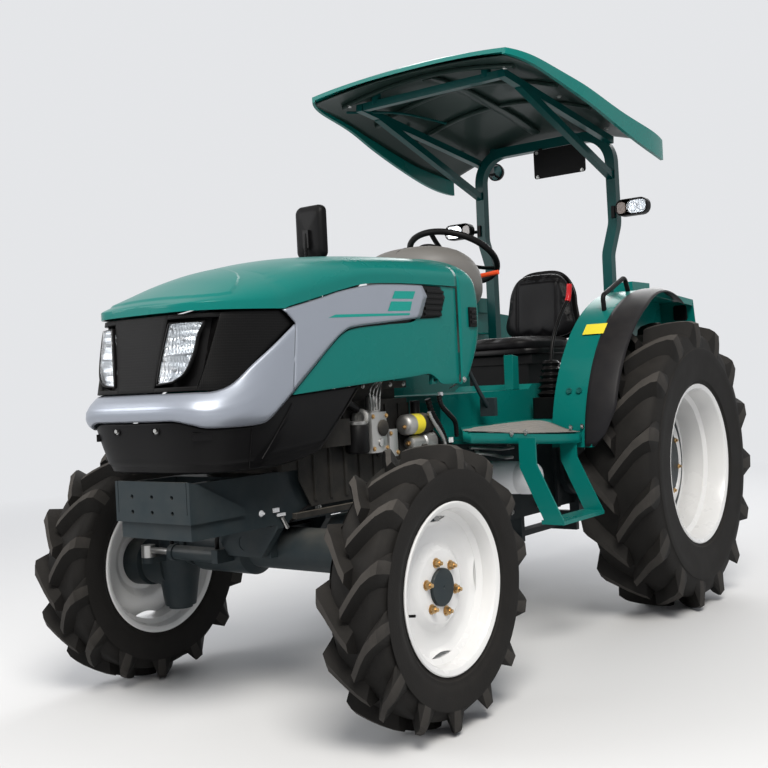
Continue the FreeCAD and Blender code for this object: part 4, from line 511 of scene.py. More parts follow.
# %% Dress the solid parts
NODE_FINISH = {
    "slate_paint": ["front_frame", "weight_bracket", "front_axle", "left_knuckle", "right_knuckle", "tie_rod",
                    "drive_shaft", "gearbox", "rear_axle", "drawbar", "lift_arms", "left_lower_link",
                    "right_lower_link", "top_link", "pedals"],
    "dark_casting": ["engine"],
    "cast_aluminium": ["engine_side_parts"],
    "bare_steel": ["steering_rod", "left_lift_rod", "right_lift_rod"],
    "teal_gloss": ["hood_top", "hood_sides", "cowl", "floor_panels", "tunnel_cover", "left_fender",
                   "right_fender", "steps", "canopy"],
    "silver_metallic": ["silver_band"],
    "grille_mesh": ["grille"],
    "black_plastic": ["lower_cowling", "seat_base", "steering_column", "steering_wheel", "levers", "mirror",
                      "grab_handles"],
    "grey_plastic": ["dash"],
    "seat_vinyl": ["seat_cushion", "seat_back"],
    "rubber_trim": ["fender_trims"],
    "blue_green": ["roll_bar"],
    "clear_lens": ["headlights", "lamps"],
    "white_plastic": ["hydraulic_filter"],
    "white_gloss": ["front_left_rim", "front_right_rim", "rear_left_rim", "rear_right_rim"],
    "rubber": ["front_left_tyre", "front_right_tyre", "rear_left_tyre", "rear_right_tyre"],
}
for name, nodes in NODE_FINISH.items():
    for node in nodes:
        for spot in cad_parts[node].material_slots:
            spot.material = FINISH[name]
print("dressed nodes:", sum(map(len, NODE_FINISH.values())))

# %% [markdown]
# ## Tyres
# A farm tyre is a round carcass with tall slanting lugs. The carcass is a lathe shape: a profile of
# width and radius turned about the axle. The lugs could be one block repeated by a modifier, but
# they bend as they run from the middle of the tread over the shoulder, so each is a small grid
# whose sections follow the tread. Left and right rows are half a step apart.

# %% Tyre carcass and lugs
def tyre_profile(half, radius, flange, depth):
    """Half of the carcass's outline from the bead to the crown, then mirrored and closed at the bead."""
    middle = (flange + radius) / 2
    side = [(half - .024, flange - .017), (half - .020, flange + .004), (half - .016, flange + .012),
            (half - .012, flange + .016), (half - .010, flange + .026), (half - .0035, middle - .045),
            (half, middle - .012), (half, middle + .012), (half - .004, radius - depth * 2.6),
            (half - .014, radius - depth * 1.75), (half - .030, radius - depth * 1.3),
            (half * .55, radius - depth * 1.04), (0, radius - depth)]
    line = smooth_line(side, 4)
    return np.vstack([line, (line * (-1, 1))[-2::-1]])


def lug(half, radius, depth, spread, start, width):
    """One lug as (shape, shape): its sides, and its worn top. Angle runs as spread*(1-(1-s)^1.6)."""
    s = np.array([0, .12, .3, .5, .68, .82, .9, .96, 1.0])
    low = np.array([(-.006, -depth), (.14 * half, -depth), (.38 * half, -depth * 1.03),
                    (.6 * half, -depth * 1.1), (.8 * half, -depth * 1.35), (.90 * half, -depth * 1.8),
                    (.93 * half, -depth * 2.2), (.95 * half, -depth * 2.6), (.96 * half, -depth * 3.0)])
    top = np.array([(-.006, -.002), (.14 * half, 0), (.38 * half, -.0005), (.62 * half, -.002),
                    (.86 * half, -.006), (.985 * half, -.018), (half + .001, -depth * 1.2),
                    (half, -depth * 2.1), (.965 * half, -depth * 2.9)])
    turn = start + spread * (1 - (1 - s) ** 1.6)
    share = np.array([(-1.0, 0), (-.42, .90), (-.36, 1), (.36, 1), (.42, .90), (1.0, 0)])
    wide = width * np.array([1, 1.02, 1.05, 1.1, 1.2, 1.5, 1.6, 1.5, 1.2])
    meridian = low[:, None] + share[None, :, 1:] * (top - low)[:, None]
    x, r = meridian[..., 0], meridian[..., 1] + radius
    a = turn[:, None] + share[None, :, 0] * (wide / radius)[:, None] * 1.45
    points, faces = grid(np.stack([x, -r * np.cos(a), r * np.sin(a)], -1))
    columns = len(share) - 1
    crown = [face for k, face in enumerate(faces) if k % columns == 2]
    flanks = [face for k, face in enumerate(faces) if k % columns != 2]
    last = len(points) - len(share)
    caps = [list(range(len(share)))[::-1], list(range(last, len(points)))]
    return (points, flanks + caps), (points, crown)


def tyre(name, sign, track, y, body, half, radius, flange, depth, count, spread, width):
    """Carcass with count lugs on each side of the tread; track is the distance from the tractor's middle."""
    parts = [(turned(tyre_profile(half, radius, flange, depth), steps=144), "rubber")]
    for k in range(count):
        for side in (1, -1):
            start = 2 * math.pi * (k + (.5 if side < 0 else 0)) / count
            shapes = lug(half, radius, depth, spread, start, width)
            if side < 0:
                shapes = [mirrored(shape) for shape in shapes]
            parts += [(shapes[0], "rubber"), (shapes[1], "worn_rubber")]
    parts = [(moved(shape, (sign * track, y, radius)), material) for shape, material in parts]
    return piece(name, parts, body, sharp=28)


FRONT_TYRE = dict(track=.689, y=FRONT_Y, half=.111, radius=.460, flange=.276, depth=.042, count=14,
                  spread=.34, width=.027)
REAR_TYRE = dict(track=.6855, y=0, half=.171, radius=.673, flange=.374, depth=.050, count=15, spread=.30,
                 width=.038)
for side, sign in (("left", 1), ("right", -1)):
    front = tyre(f"front_{side}_tread", sign, body=f"front_{side}_wheel", **FRONT_TYRE)
    rear = tyre(f"rear_{side}_tread", sign, body=f"rear_{side}_wheel", **REAR_TYRE)
    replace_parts(front, f"front_{side}_tyre")
    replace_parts(rear, f"rear_{side}_tyre")
print("lugs on each tyre:", 2 * FRONT_TYRE["count"], "front and", 2 * REAR_TYRE["count"], "rear")

# %% [markdown]
# ## Wheels
# The rim is rolled from sheet: two flanges, a drop well and, welded inside, a pressed disc whose
# edge touches the rim at four places and leaves a slot between them. Both are lathe shapes; the
# disc's outer radius is pulled in by a smooth wave where the slots are.

# %% Rims, discs and hubs
def rim_profile(face, flange, width):
    """Closed outline of the rolled rim, its face at x = face and its other flange width behind."""
    bead, well = flange - .020, flange - .042
    back = face - width
    well_0, well_1 = back + width * .30, back + width * .62
    return [(back, flange - .004), (back + .003, flange), (back + .007, flange - .001),
            (back + .010, flange - .012), (back + .015, bead), (well_0 - .014, bead - .004), (well_0, well),
            (well_1, well), (well_1 + .014, bead - .004), (face - .015, bead), (face - .010, flange - .012),
            (face - .007, flange - .001), (face - .003, flange), (face, flange - .004),
            (face - .001, flange - .010), (face - .007, flange - .021), (face - .018, bead - .007),
            (well_1 + .022, bead - .011), (well_1 + .007, well - .007), (well_0 - .007, well - .007),
            (well_0 - .022, bead - .011), (back + .018, bead - .007), (back + .007, flange - .021),
            (back + .001, flange - .010)]


SLOTS = 4
SLOT_DEPTH = .020


def disc(seat_x, hub, edge, rise):
    """Pressed disc: a flat seat, a step ring and an edge that draws back at each slot."""
    seat = hub + .055
    web_x = seat_x - rise
    front = np.array([(seat_x, hub * .5), (seat_x, hub), (seat_x, seat - .004), (seat_x - .001, seat),
                      (seat_x - .004, seat + .005), (seat_x - rise * .8, seat + .024), (web_x, seat + .032),
                      (web_x, edge - .032), (web_x + .002, edge - .022), (web_x + .010, edge - .006),
                      (web_x + .014, edge)])
    back = front[::-1] - (.009, 0)
    outline = np.vstack([front, back])
    angle = 2 * math.pi * np.arange(120) / 120
    near = np.abs((angle * SLOTS / (2 * math.pi)) % 1 - .5) * 2
    pull = SLOT_DEPTH * np.clip(1 - (near / .34) ** 2, 0, 1)
    outer = np.clip((outline[:, 1] - (edge - .034)) / .034, 0, 1)
    r = outline[None, :, 1] - pull[:, None] * outer[None, :]
    x = np.broadcast_to(outline[None, :, 0], r.shape)
    turn = angle[:, None] + math.pi / 4
    return grid(np.stack([x, r * np.cos(turn), r * np.sin(turn)], -1), ring=True, loop=True)


def wheel(name, sign, y, height, body, face, flange, width, dish, hub, rise, nuts, circle):
    """Rim and disc in white, dark hub, and plated nuts on studs."""
    seat_x = face - dish
    parts = [(turned(rim_profile(face, flange, width), steps=128), "white_gloss"),
             (disc(seat_x, hub, flange - .047, rise), "white_gloss")]
    cap = [(seat_x - .09, hub * 1.5), (seat_x - .014, hub * 1.55), (seat_x - .0085, hub * .95),
           (seat_x + .003, hub * .98), (seat_x + .009, hub * .97), (seat_x + .0115, hub * .94),
           (seat_x + .0115, .006), (seat_x + .0095, .0045)]
    parts.append((capped(cap, 56), "slate_paint"))
    for k in range(nuts):
        a = 2 * math.pi * (k + .77) / nuts
        spot = (seat_x + .0005, circle * math.cos(a), circle * math.sin(a))
        parts.append((nut(spot, (1, 0, 0), .021, .017, .008), "gold_zinc"))
    stem = flange - .052
    valve = rod((seat_x + .012, -stem * .97, -stem * .22), (seat_x + .044, -stem * .93, -stem * .21),
                .0045, 10)
    parts.append((valve, "black_plastic"))
    if sign < 0:
        parts = [(mirrored(shape), material) for shape, material in parts]
    parts = [(moved(shape, (0, y, height)), material) for shape, material in parts]
    return piece(name, parts, body, sharp=30)


FRONT_RIM = dict(y=FRONT_Y, height=.460, face=.788, flange=.276, width=.196, dish=.058, hub=.063, rise=.023,
                 nuts=6, circle=.084)
REAR_RIM = dict(y=0, height=.673, face=.838, flange=.374, width=.308, dish=.190, hub=.185, rise=.034, nuts=8,
                circle=.172)
for side, sign in (("left", 1), ("right", -1)):
    front = wheel(f"front_{side}_disc", sign, body=f"front_{side}_wheel", **FRONT_RIM)
    rear = wheel(f"rear_{side}_disc", sign, body=f"rear_{side}_wheel", **REAR_RIM)
    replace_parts(front, f"front_{side}_rim")
    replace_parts(rear, f"rear_{side}_rim")
print("wheels dressed: 4")

# %% [markdown]
# ## Bonnet and nose
# The bonnet is one smooth volume, cut into panels. Modelling each panel by hand invites gaps that
# wander, so the volume is written once, as a map: a distance along the outline seen from above,
# and a height. Every panel is then a patch of that map, drawn by the lines that bound it, and
# neighbours share those lines less a few millimetres of gap.

# %% The bonnet's outline seen from above
NOSE_Y = FRONT_Y - .618
NOSE_REACH = .300
SQUARENESS = 3.4
BONNET_HALF = .325
BONNET_REAR = FRONT_Y + .766

a = np.linspace(0, 1, 600) ** 1.5 * math.pi / 2
nose_x = BONNET_HALF * np.sin(a) ** (2 / SQUARENESS)
nose_y = NOSE_Y + NOSE_REACH * (1 - np.cos(a) ** (2 / SQUARENESS))
plan = np.vstack([np.stack([nose_x, nose_y], 1), [(BONNET_HALF, BONNET_REAR + .4)]])
plan_length = np.concatenate([[0], np.cumsum(np.linalg.norm(np.diff(plan, axis=0), axis=1))])
run = np.gradient(plan, plan_length, axis=0)
plan_out = np.stack([run[:, 1], -run[:, 0]], 1) / np.linalg.norm(run, axis=1)[:, None]


def distance(place):
    """Distance along the outline, from the nose, to a half-width or, if the place is negative, to a y."""
    if place >= 0:
        return float(np.interp(place, nose_x, plan_length[:-1]))
    return float(np.interp(place, plan[:, 1], plan_length))


def on_outline(line):
    """(place, height) pairs as (distance, height) pairs."""
    return np.array([(distance(place), height) for place, height in line])


def smooth_step(value, start, end):
    """Rises from 0 to 1 between start and end along 3t^2 - 2t^3."""
    t = np.clip((value - start) / (end - start), 0, 1)
    return t * t * (3 - 2 * t)


CORNER = distance(-2.42)
FLARE = .020


def skin(along, height, lift=0.0):
    """Points on the bonnet: the outline's, moved out by lift less the nose's lean and its taper below."""
    along, height = np.asarray(along, float), np.asarray(height, float)
    x, y = (np.interp(along, plan_length, plan[:, k]) for k in (0, 1))
    out_x, out_y = (np.interp(along, plan_length, plan_out[:, k]) for k in (0, 1))
    front = 1 - smooth_step(along, CORNER - .22, CORNER + .12)
    lean = .022 * np.clip((height - 1.03) / .12, 0, 1) + .028 * np.clip((height - 1.15) / .19, 0, 1.6)
    taper = .050 * np.clip((1.04 - height) / .18, 0, 1) ** 1.2
    push = lift - lean * front - taper * (.35 + .65 * front) + FLARE * smooth_step(y, -2.1, -1.4)
    return np.stack([x + out_x * push, y + out_y * push, height], -1)


def spot(place, height, lift):
    """One point on the bonnet."""
    return skin(distance(place), height, lift)


def patch(lines, lift=0.0, steps=6, across=8):
    """A panel between two or more lines of (place, height); lift may depend on (along, share across)."""
    curves = np.stack([smooth_line(on_outline(line), steps) for line in lines])
    share = np.linspace(0, len(lines) - 1, (len(lines) - 1) * across + 1)
    low = np.minimum(share.astype(int), len(lines) - 2)
    part = (share - low)[:, None, None]
    surface = curves[low] * (1 - part) + curves[low + 1] * part
    up = np.broadcast_to((share / share[-1])[:, None], surface.shape[:2])
    rise = lift(surface[..., 0], up) if callable(lift) else lift
    return grid(skin(surface[..., 0], surface[..., 1], rise))


print("bonnet outline, nose to cowl:", round(distance(BONNET_REAR), 3), "m a side")

# %% [markdown]
# The top skin runs across the tractor instead: one arched section for each y, from the lip on one
# side over the crown. Its fullness comes from a super-ellipse, which is flatter on top and rounder
# at the shoulder than a circle. A raised field along the middle ends in a soft step.

# %% Top skin
SEAM = [(-2.80, 1.372), (-2.33, 1.380), (-2.297, 1.383), (-2.199, 1.405), (-2.094, 1.430), (-1.984, 1.456),
        (-1.835, 1.482), (-1.523, 1.492), (-1.0, 1.492)]
RIDGE = [(-2.72, 1.396), (-2.627, 1.3965), (-2.60, 1.411), (-2.56, 1.430), (-2.48, 1.465), (-2.40, 1.498),
         (-2.30, 1.530), (-2.194, 1.558), (-2.05, 1.585), (-1.82, 1.607), (-1.516, 1.622), (-1.245, 1.628),
         (-1.0, 1.628)]
LIP = .024
FIELD_HALF = .277
FIELD_FRONT = np.array([(0, -2.575), (.125, -2.572), (.190, -2.560), (.222, -2.545), (.257, -2.515),
                        (FIELD_HALF, -2.476)])
FIELD_REAR = np.array([(0, -2.262), (.099, -2.300), (.165, -2.332), (.209, -2.367), (.253, -2.427),
                       (FIELD_HALF, -2.476)])


def crown(x, y):
    """Height: lip plus rise times (1 - |x / half|^n)^(1/n), n growing from nose to cowl, plus the field."""
    half = np.interp(y, skin_rim[:, 1], skin_rim[:, 0])
    n = np.interp(y, (-2.65, -2.2), (1.75, 2.4))
    lip = follow(SEAM, y) + LIP
    rise = np.maximum(follow(RIDGE, y) - lip, .004)
    side = np.abs(x)
    height = lip + rise * (1 - np.clip(side / np.maximum(half, 1e-4), 0, 1) ** n) ** (1 / n)
    inside = np.minimum(y - np.interp(side, *FIELD_FRONT.T), np.interp(side, *FIELD_REAR.T) - y)
    return height + .0055 * smooth_step(inside, -.004, .007) * (side < FIELD_HALF)


along = np.concatenate([np.linspace(0, .55, 110), np.linspace(.55, distance(BONNET_REAR), 50)[1:]])
skin_rim = skin(along, np.full(len(along), 1.372), .008)
skin_rim[0, 0] = 0
spine_y = np.interp(along, (0, .62, along[-1]), (skin_rim[0, 1] + .30, -2.07, BONNET_REAR))
across = 1 - np.cos(np.linspace(0, math.pi / 2, 72))
across = across / across[-1]
x = skin_rim[:, :1] * (1 - across[None, :])
y = skin_rim[:, 1:2] * (1 - across[None, :]) + spine_y[:, None] * across[None, :]
z = crown(x, y)
low = follow(SEAM, skin_rim[:, 1])
edge = [np.stack([skin_rim[:, 0] * k, skin_rim[:, 1] + d, low + h], -1)
        for k, d, h in ((.975, .006, .001), (1, 0, 0), (1, 0, LIP * .6))]
top = grid(np.concatenate([np.stack(edge, 1), np.stack([x, y, z], -1)], axis=1))
piece("bonnet_top", pairs([(top, "teal_gloss")]), "hood", thickness=.004, sharp=50)

# %% [markdown]
# Below the lip come the grille, the two lamps and the silver band. The grille is drawn in four
# parts round each lamp, so the lamp's pocket is a real hole: dark walls, a bright reflector with
# two bowls, and a clear cover over both.

# %% Grille, lamps and silver band
GAP = .004
foot = 1.124 + GAP
head = 1.372 - GAP
BAND_TOP = [(.252, foot), (-2.565, foot), (-2.507, 1.150), (-2.429, 1.207),
            (-2.335, 1.272), (-2.243, 1.335)]
grille_parts = [
    patch([[(0, foot), (0, 1.20), (0, 1.30), (0, head)],
           [(.086, foot), (.099, 1.20), (.120, 1.30), (.134, head)]], -.004),
    patch([[(.086, foot), (.155, foot), (.252, foot)],
           [(.090, 1.140), (.155, 1.141), (.255, 1.141)]], -.004, across=2),
    patch([[(.131, 1.354), (.2, 1.354), (.311, 1.354)],
           [(.134, head), (.2, head), (.313, head)]], -.004, across=2),
    patch([BAND_TOP, [(.313, head), (-2.50, head + .002), (-2.47, head + .003),
                      (-2.42, head + .004), (-2.36, head + .005), (-2.302, head + .006)]], -.004)]
piece("grille_face", pairs([(joined(*grille_parts), "grille_mesh")]), "hood", thickness=.004,
      bevel=.001)

pocket_line = [(.090, 1.140), (.255, 1.141), (.311, 1.354), (.131, 1.354)]
corners = on_outline(pocket_line)
ring = np.concatenate([np.linspace(*ends, 8, endpoint=False)
                       for ends in zip(corners, np.roll(corners, -1, 0))])
walls = grid(np.stack([skin(ring[:, 0], ring[:, 1], lift) for lift in (-.006, -.050)]), ring=True)
floor_of_pocket = patch([[pocket_line[0], pocket_line[3]], [pocket_line[1], pocket_line[2]]], -.050)
LENS_IN = [(.102, 1.150), (.110, 1.20), (.120, 1.25), (.132, 1.30), (.143, 1.340)]
LENS_OUT = [(.172, 1.157), (.218, 1.186), (.250, 1.250), (.263, 1.300), (.285, 1.340)]


def bowls(along, _):
    """Two dishes under small facets: a dish falls with the square of the distance to its centre."""
    t = (along - distance(.118)) / (distance(.25) - distance(.118))
    heights = np.linspace(0, 1, along.shape[1])[None, :]
    lower = ((t - .40) / .55) ** 2 + ((heights - .24) / .24) ** 2
    upper = ((t - .55) / .62) ** 2 + ((heights - .72) / .30) ** 2
    facets = .0028 * np.abs(np.sin(32 * t)) + .0028 * np.abs(np.sin(26 * heights))
    return -.012 - .014 * np.clip(1 - np.minimum(lower, upper), 0, 1) + facets


reflector = patch([LENS_IN, LENS_OUT], bowls, steps=22, across=44)
cover = patch([LENS_IN, LENS_OUT], -.001, steps=8, across=8)
frame_ring = np.vstack([smooth_line(on_outline(LENS_IN), 8), smooth_line(on_outline(LENS_OUT), 8)[::-1]])
frame_path = skin(frame_ring[:, 0], frame_ring[:, 1], -.004)
rim_of_lens = swept(frame_path, soft_rectangle(.006, .012, .002, 3), up=(0, -1, 0), closed=True)
bulb = turned([(0, 1e-4), (0, .007), (.016, .007), (.021, .004), (.022, 1e-4)], steps=16, loop=False)
shelf = skin(np.linspace(distance(.122), distance(.238), 12), np.linspace(1.238, 1.244, 12), -.008)
lamp_parts = [(joined(walls, floor_of_pocket), "black_satin"), (reflector, "lamp_silver"),
              (rim_of_lens, "black_satin"), (swept(shelf, soft_rectangle(.010, .004, .001, 2)), "chrome")]
for place, height in ((.160, 1.196), (.198, 1.290)):
    lamp_parts.append((moved(bulb, spot(place, height, -.024), pointing((.3, -1, 0))), "white_plastic"))
piece("headlamp_pockets", pairs(lamp_parts), "hood")
piece("headlamp_covers", pairs([(cover, "clear_lens")]), "hood", thickness=.003)


def band_bulge(along, up):
    """How far the silver band stands out: a rounded bar at the nose that flattens along the sides."""
    bar = np.interp(up, (0, .08, .3, .5, .72, .9, 1), (.000, .012, .023, .025, .016, .002, -.008))
    near = 1 - smooth_step(along, CORNER - .10, CORNER + .10)
    flat = np.interp(up, (0, .06, .94, 1), (.006, .011, .011, .006))
    return flat * (1 - near) + bar * near * (1 - .3 * smooth_step(along, distance(.22), CORNER))


band_front = patch([
    [(0, 1.036), (.12, 1.036), (.185, 1.035), (.238, 1.022), (.272, 1.011), (-2.52, 1.009),
     (-2.435, 1.011), (-2.389, 1.021), (-2.330, 1.060), (-2.268, 1.104)],
    [(0, 1.122), (.12, 1.122), (.19, 1.122), (.245, 1.122), (-2.575, 1.124),
     (-2.507, 1.148), (-2.429, 1.205), (-2.36, 1.253), (-2.30, 1.294), (-2.241, 1.333)]],
    band_bulge, steps=8, across=16)
band_side = patch([
    [(-2.268, 1.104), (-2.16, 1.185), (-2.05, 1.268), (-1.99, 1.306), (-1.93, 1.324),
     (-1.74, 1.343), (-1.545, 1.362)],
    [(-2.241, 1.333), (-2.17, 1.36), (-2.07, 1.385), (-1.97, 1.412), (-1.85, 1.432),
     (-1.69, 1.44), (-1.50, 1.446)],
    [(-2.297, 1.378), (-2.199, 1.400), (-2.094, 1.425), (-1.984, 1.452), (-1.835, 1.477),
     (-1.69, 1.485), (-1.530, 1.488)]],
    lambda _, up: np.interp(up, (0, .04, .96, 1), (.006, .011, .011, .006)), across=10)
piece("silver_band_skin", pairs([(joined(band_front, band_side), "silver_metallic")]), "hood",
      thickness=.005, sharp=40)

# %% Side panels, vents and stripes
side_panel = patch([
    [(-2.262, 1.098), (-2.14, 1.106), (-2.0, 1.115), (-1.8, 1.128), (-1.6, 1.141),
     (-1.495, 1.149), (-1.44, 1.128), (-1.405, 1.108), (-1.286, 1.106)],
    [(-2.252, 1.108), (-2.158, 1.178), (-2.05, 1.259), (-1.95, 1.314), (-1.75, 1.335),
     (-1.57, 1.352), (-1.545, 1.42), (-1.51, 1.488), (-1.286, 1.488)]], 0, across=14)
vent = patch([[(-1.540, 1.360), (-1.47, 1.363), (-1.408, 1.367)],
              [(-1.494, 1.446), (-1.43, 1.447), (-1.366, 1.447)],
              [(-1.522, 1.488), (-1.46, 1.488), (-1.398, 1.488)]], .003, across=6)
slats = []
for k in range(5):
    start, end = distance(-1.512 + k * .004), distance(-1.402 + k * .005)
    line = skin(np.linspace(start, end, 8), np.full(8, 1.378 + k * .022), .006)
    slats.append(swept(line, soft_rectangle(.006, .012, .002, 3)))
stripes = [patch([[(-1.718, 1.430), (-1.592, 1.433)], [(-1.700, 1.459), (-1.575, 1.462)]],
                 .0118, across=3),
           patch([[(-1.746, 1.384), (-1.612, 1.388)], [(-1.724, 1.420), (-1.598, 1.423)]],
                 .0118, across=3),
           patch([[(-2.075, 1.354), (-1.84, 1.363), (-1.618, 1.371)],
                 [(-2.035, 1.366), (-1.82, 1.373), (-1.614, 1.379)]], .0118, across=2)]
piece("side_panels", pairs([(side_panel, "teal_gloss")]), "hood", thickness=.004, bevel=.001)
piece("vents", pairs([(vent, "black_satin"), (joined(*slats), "black_plastic")]), "hood",
      thickness=.002)
piece("stripes", pairs([(joined(*stripes), "green_film")]), "hood")
# A black sheet just inside the side panels: painted shade for the dark space under the bonnet, seen through
# the gaps.
shade_sheet = patch([[(-2.36, 1.13), (-2.0, 1.13), (-1.6, 1.155), (-1.30, 1.12)],
               [(-2.36, 1.36), (-2.0, 1.43), (-1.6, 1.475), (-1.30, 1.475)]], -.012)
piece("bonnet_shade_sheet", pairs([(shade_sheet, "black_satin")]), "hood", thickness=.003)
nose = bpy.data.objects["bonnet_top"]
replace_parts(nose, "hood_top", "grille", "silver_band", "hood_sides", "headlights")

# %% [markdown]
# The black skirt under the nose doesn't lift with the bonnet. It is drawn on the same map, so it
# lines up with the band above it, and leans in towards the bottom, with a crease low down.

# %% Lower skirt
def skirt_lift(_, up):
    """A step at the crease, and a lip that turns in at the bottom edge."""
    return np.interp(up, (0, .02, .16, .20, .26, 1), (-.030, -.018, -.016, -.010, -.012, -.010))


SKIRT_TOP = [(0, 1.032), (.12, 1.032), (.188, 1.031), (.24, 1.017), (.275, 1.007),
             (-2.52, 1.005), (-2.435, 1.007), (-2.385, 1.018), (-2.325, 1.058),
             (-2.266, 1.094), (-2.15, 1.103), (-2.03, 1.110), (-1.902, 1.118)]
SKIRT_FOOT = [(place, .866) for place in (0, .12, .188, .24, .275, -2.53, -2.46, -2.42, -2.38)]
SKIRT_FOOT += [(-2.32, .867), (-2.25, .872), (-2.18, .882), (-2.12, .893)]
skirt = patch([SKIRT_FOOT, SKIRT_TOP], skirt_lift, steps=6, across=24)
inlet = patch([[(-2.440, .888), (-2.395, .888)], [(-2.375, .940), (-2.320, .950)],
               [(-2.305, .995), (-2.265, 1.030)]], -.0085, across=5)
seams = []
for start, end in (((-2.445, .872), (-2.445, 1.000)), ((-2.395, .900), (-2.258, 1.070)),
                   ((-2.12, .905), (-1.91, 1.108))):
    rail = np.linspace(*on_outline([start, end]), 16)
    seams.append(swept(skin(rail[:, 0], rail[:, 1], -.0085), round_section(.0022, 6)))
bolt_spot = spot(.094, 1.008, -.011)
outwards = (.05, -1, 0)
details = [
    (inlet, "black_satin"), (joined(*seams), "black_satin"),
    (lathe(bolt_spot, outwards, [(0, .016), (.003, .018), (.003, .013), (-.004, .011)], 24), "black_satin"),
    (nut(bolt_spot + (0, .002, 0), outwards, .013, .008), "bare_steel"),
    (slab((.012, .060, .024), spot(.262, .985, -.012), pointing((.75, -.66, 0))), "black_satin")]
piece("nose_skirt", pairs([(skirt, "black_plastic")]), "chassis", thickness=.005, sharp=40)
piece("nose_skirt_details", pairs(details), "chassis")
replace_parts(bpy.data.objects["nose_skirt"], "lower_cowling")
print("bonnet panels drawn")

# %% [markdown]
# ## Cowl, dash and steering wheel
# The cowl carries on the bonnet's section and then curls in at the rear. Each point of its edge
# moves back to the rear line and inwards along a quarter circle, so the shoulder looks pressed
# from one sheet. The dash is a soft dome that grows out of it.

# %% Cowl
COWL_FRONT = BONNET_REAR + .006
COWL_HALF = .352
SHOULDER_Z = 1.500
REAR_LINE = [(1.094, -1.306), (1.126, -1.226), (1.212, -1.160), (1.287, -1.124), (1.370, -1.111),
             (1.452, -1.115), (SHOULDER_Z, -1.128), (1.545, -1.150), (1.60, -1.19), (1.64, -1.21)]


def cowl_section():
    """Half section from foot to crown: an upright side, then the same arch as the bonnet's rear edge."""
    side = np.linspace(1.102, SHOULDER_Z, 24)
    t = np.linspace(0, math.pi / 2, 40)[1:]
    x = np.concatenate([np.full(24, COWL_HALF), COWL_HALF * np.cos(t) ** (2 / 2.4)])
    z = np.concatenate([side, SHOULDER_Z + .132 * np.sin(t) ** (2 / 2.4)])
    return x, z


x, z = cowl_section()
rear = follow(REAR_LINE, z)
rows = []
for s in np.concatenate([np.linspace(0, .8, 7), 1 - .2 * np.cos(np.linspace(0, math.pi / 2, 9)[1:])]):
    curl = 1 - math.sqrt(max(0, 1 - max(0, (s - .72) / .28) ** 2))
    rows.append(np.stack([x - .020 * curl * x / .35, COWL_FRONT + (rear - COWL_FRONT) * s,
                          z - .022 * curl * (z - 1.1) / .53], -1))
cowl = grid(np.stack(rows))
lining = grid(np.stack([rows[-1], rows[-1] * (.86, 1, 1) + (0, .012, -.016)]))
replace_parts(piece("cowl_shell", pairs([(cowl, "teal_gloss")]), "chassis", thickness=.004,
                  sharp=50), "cowl")
piece("cowl_lining", pairs([(lining, "grey_plastic")]), "chassis", thickness=.003, sharp=50)

fittings = [(nut((x, y, z), (1, 0, 0), .015, .007), "bare_steel")
            for x, y, z in ((.327, -1.326, 1.128), (.353, -1.262, 1.120), (.327, -1.445, 1.124))]
fittings.append((slab((.012, .052, .080), (.355, -1.182, 1.372)), "black_plastic"))
for z in (1.352, 1.372, 1.392):
    fittings.append((slab((.005, .038, .012), (.3625, -1.182, z)), "black_satin"))
bracket = prism([(-1.464, 1.108), (-1.426, 1.108), (-1.420, 1.146), (-1.458, 1.146)], .318, .334)
# The bracket takes the darker teal, a painted shade.
fittings.append((bracket, "teal_painted_shade"))
piece("cowl_fittings", fittings, "chassis", bevel=.001)

# %% Dash
DASH = np.array([(-1.222, .060, 1.560, 1.640), (-1.212, .115, 1.555, 1.656), (-1.185, .170, 1.545, 1.678),
                 (-1.135, .222, 1.520, 1.696), (-1.060, .262, 1.470, 1.706), (-.985, .272, 1.420, 1.702),
                 (-.930, .258, 1.400, 1.680), (-.888, .218, 1.410, 1.636), (-.866, .150, 1.440, 1.580)])


def power(value, n):
    """A number's size to a power, with its own sign."""
    return np.sign(value) * np.abs(value) ** n


def dash_shell(rings):
    """Closed sections: a super-ellipse over the top and a flatter one below, each of one ring's width."""
    u = np.linspace(0, 2 * math.pi, 48, endpoint=False)
    out = []
    for y, half, low, high in smooth_line(rings, 6):
        middle = low + (high - low) * .42
        up = np.where(np.sin(u) > 0, high - middle, middle - low)
        x, z = half * power(np.cos(u), .8), middle + up * power(np.sin(u), .85)
        out.append(np.stack([x, np.full(48, y), z], -1))
    caps = [grid(np.stack([end, np.broadcast_to(end.mean(0) + (0, swell, 0), end.shape)]), ring=True)
            for end, swell in ((out[0], -.002), (out[-1], .006))]
    return joined(grid(np.stack(out), ring=True), *caps)


seam_y = np.linspace(-1.20, -.95, 30)
seam = np.stack([np.zeros(30), seam_y, np.interp(seam_y, DASH[:, 0], DASH[:, 3]) + .0005], -1)
PANEL = (-.915, 1.672)
PANEL_AXIS = (0, .62, .78)
dash_parts = [
    (dash_shell(DASH), "grey_plastic"),
    (prism([(-.90, 1.24), (-.865, 1.25), (-.862, 1.44), (-.90, 1.47)], -.14, .14), "grey_plastic"),
    (swept(seam, round_section(.0016, 6)), "black_satin"),
    (lathe((0, *PANEL), PANEL_AXIS, [(.004, .066), (.012, .074), (.004, .082), (-.010, .086)], 40),
     "black_plastic")]
for x in (-.030, .030):
    dial = [(.014, .026), (.018, .026), (.018, .030), (.010, .030)]
    dash_parts.append((lathe((x, *PANEL), PANEL_AXIS, dial), "white_plastic"))
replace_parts(piece("dash_shell", dash_parts, "chassis", bevel=.0015, sharp=45), "dash")

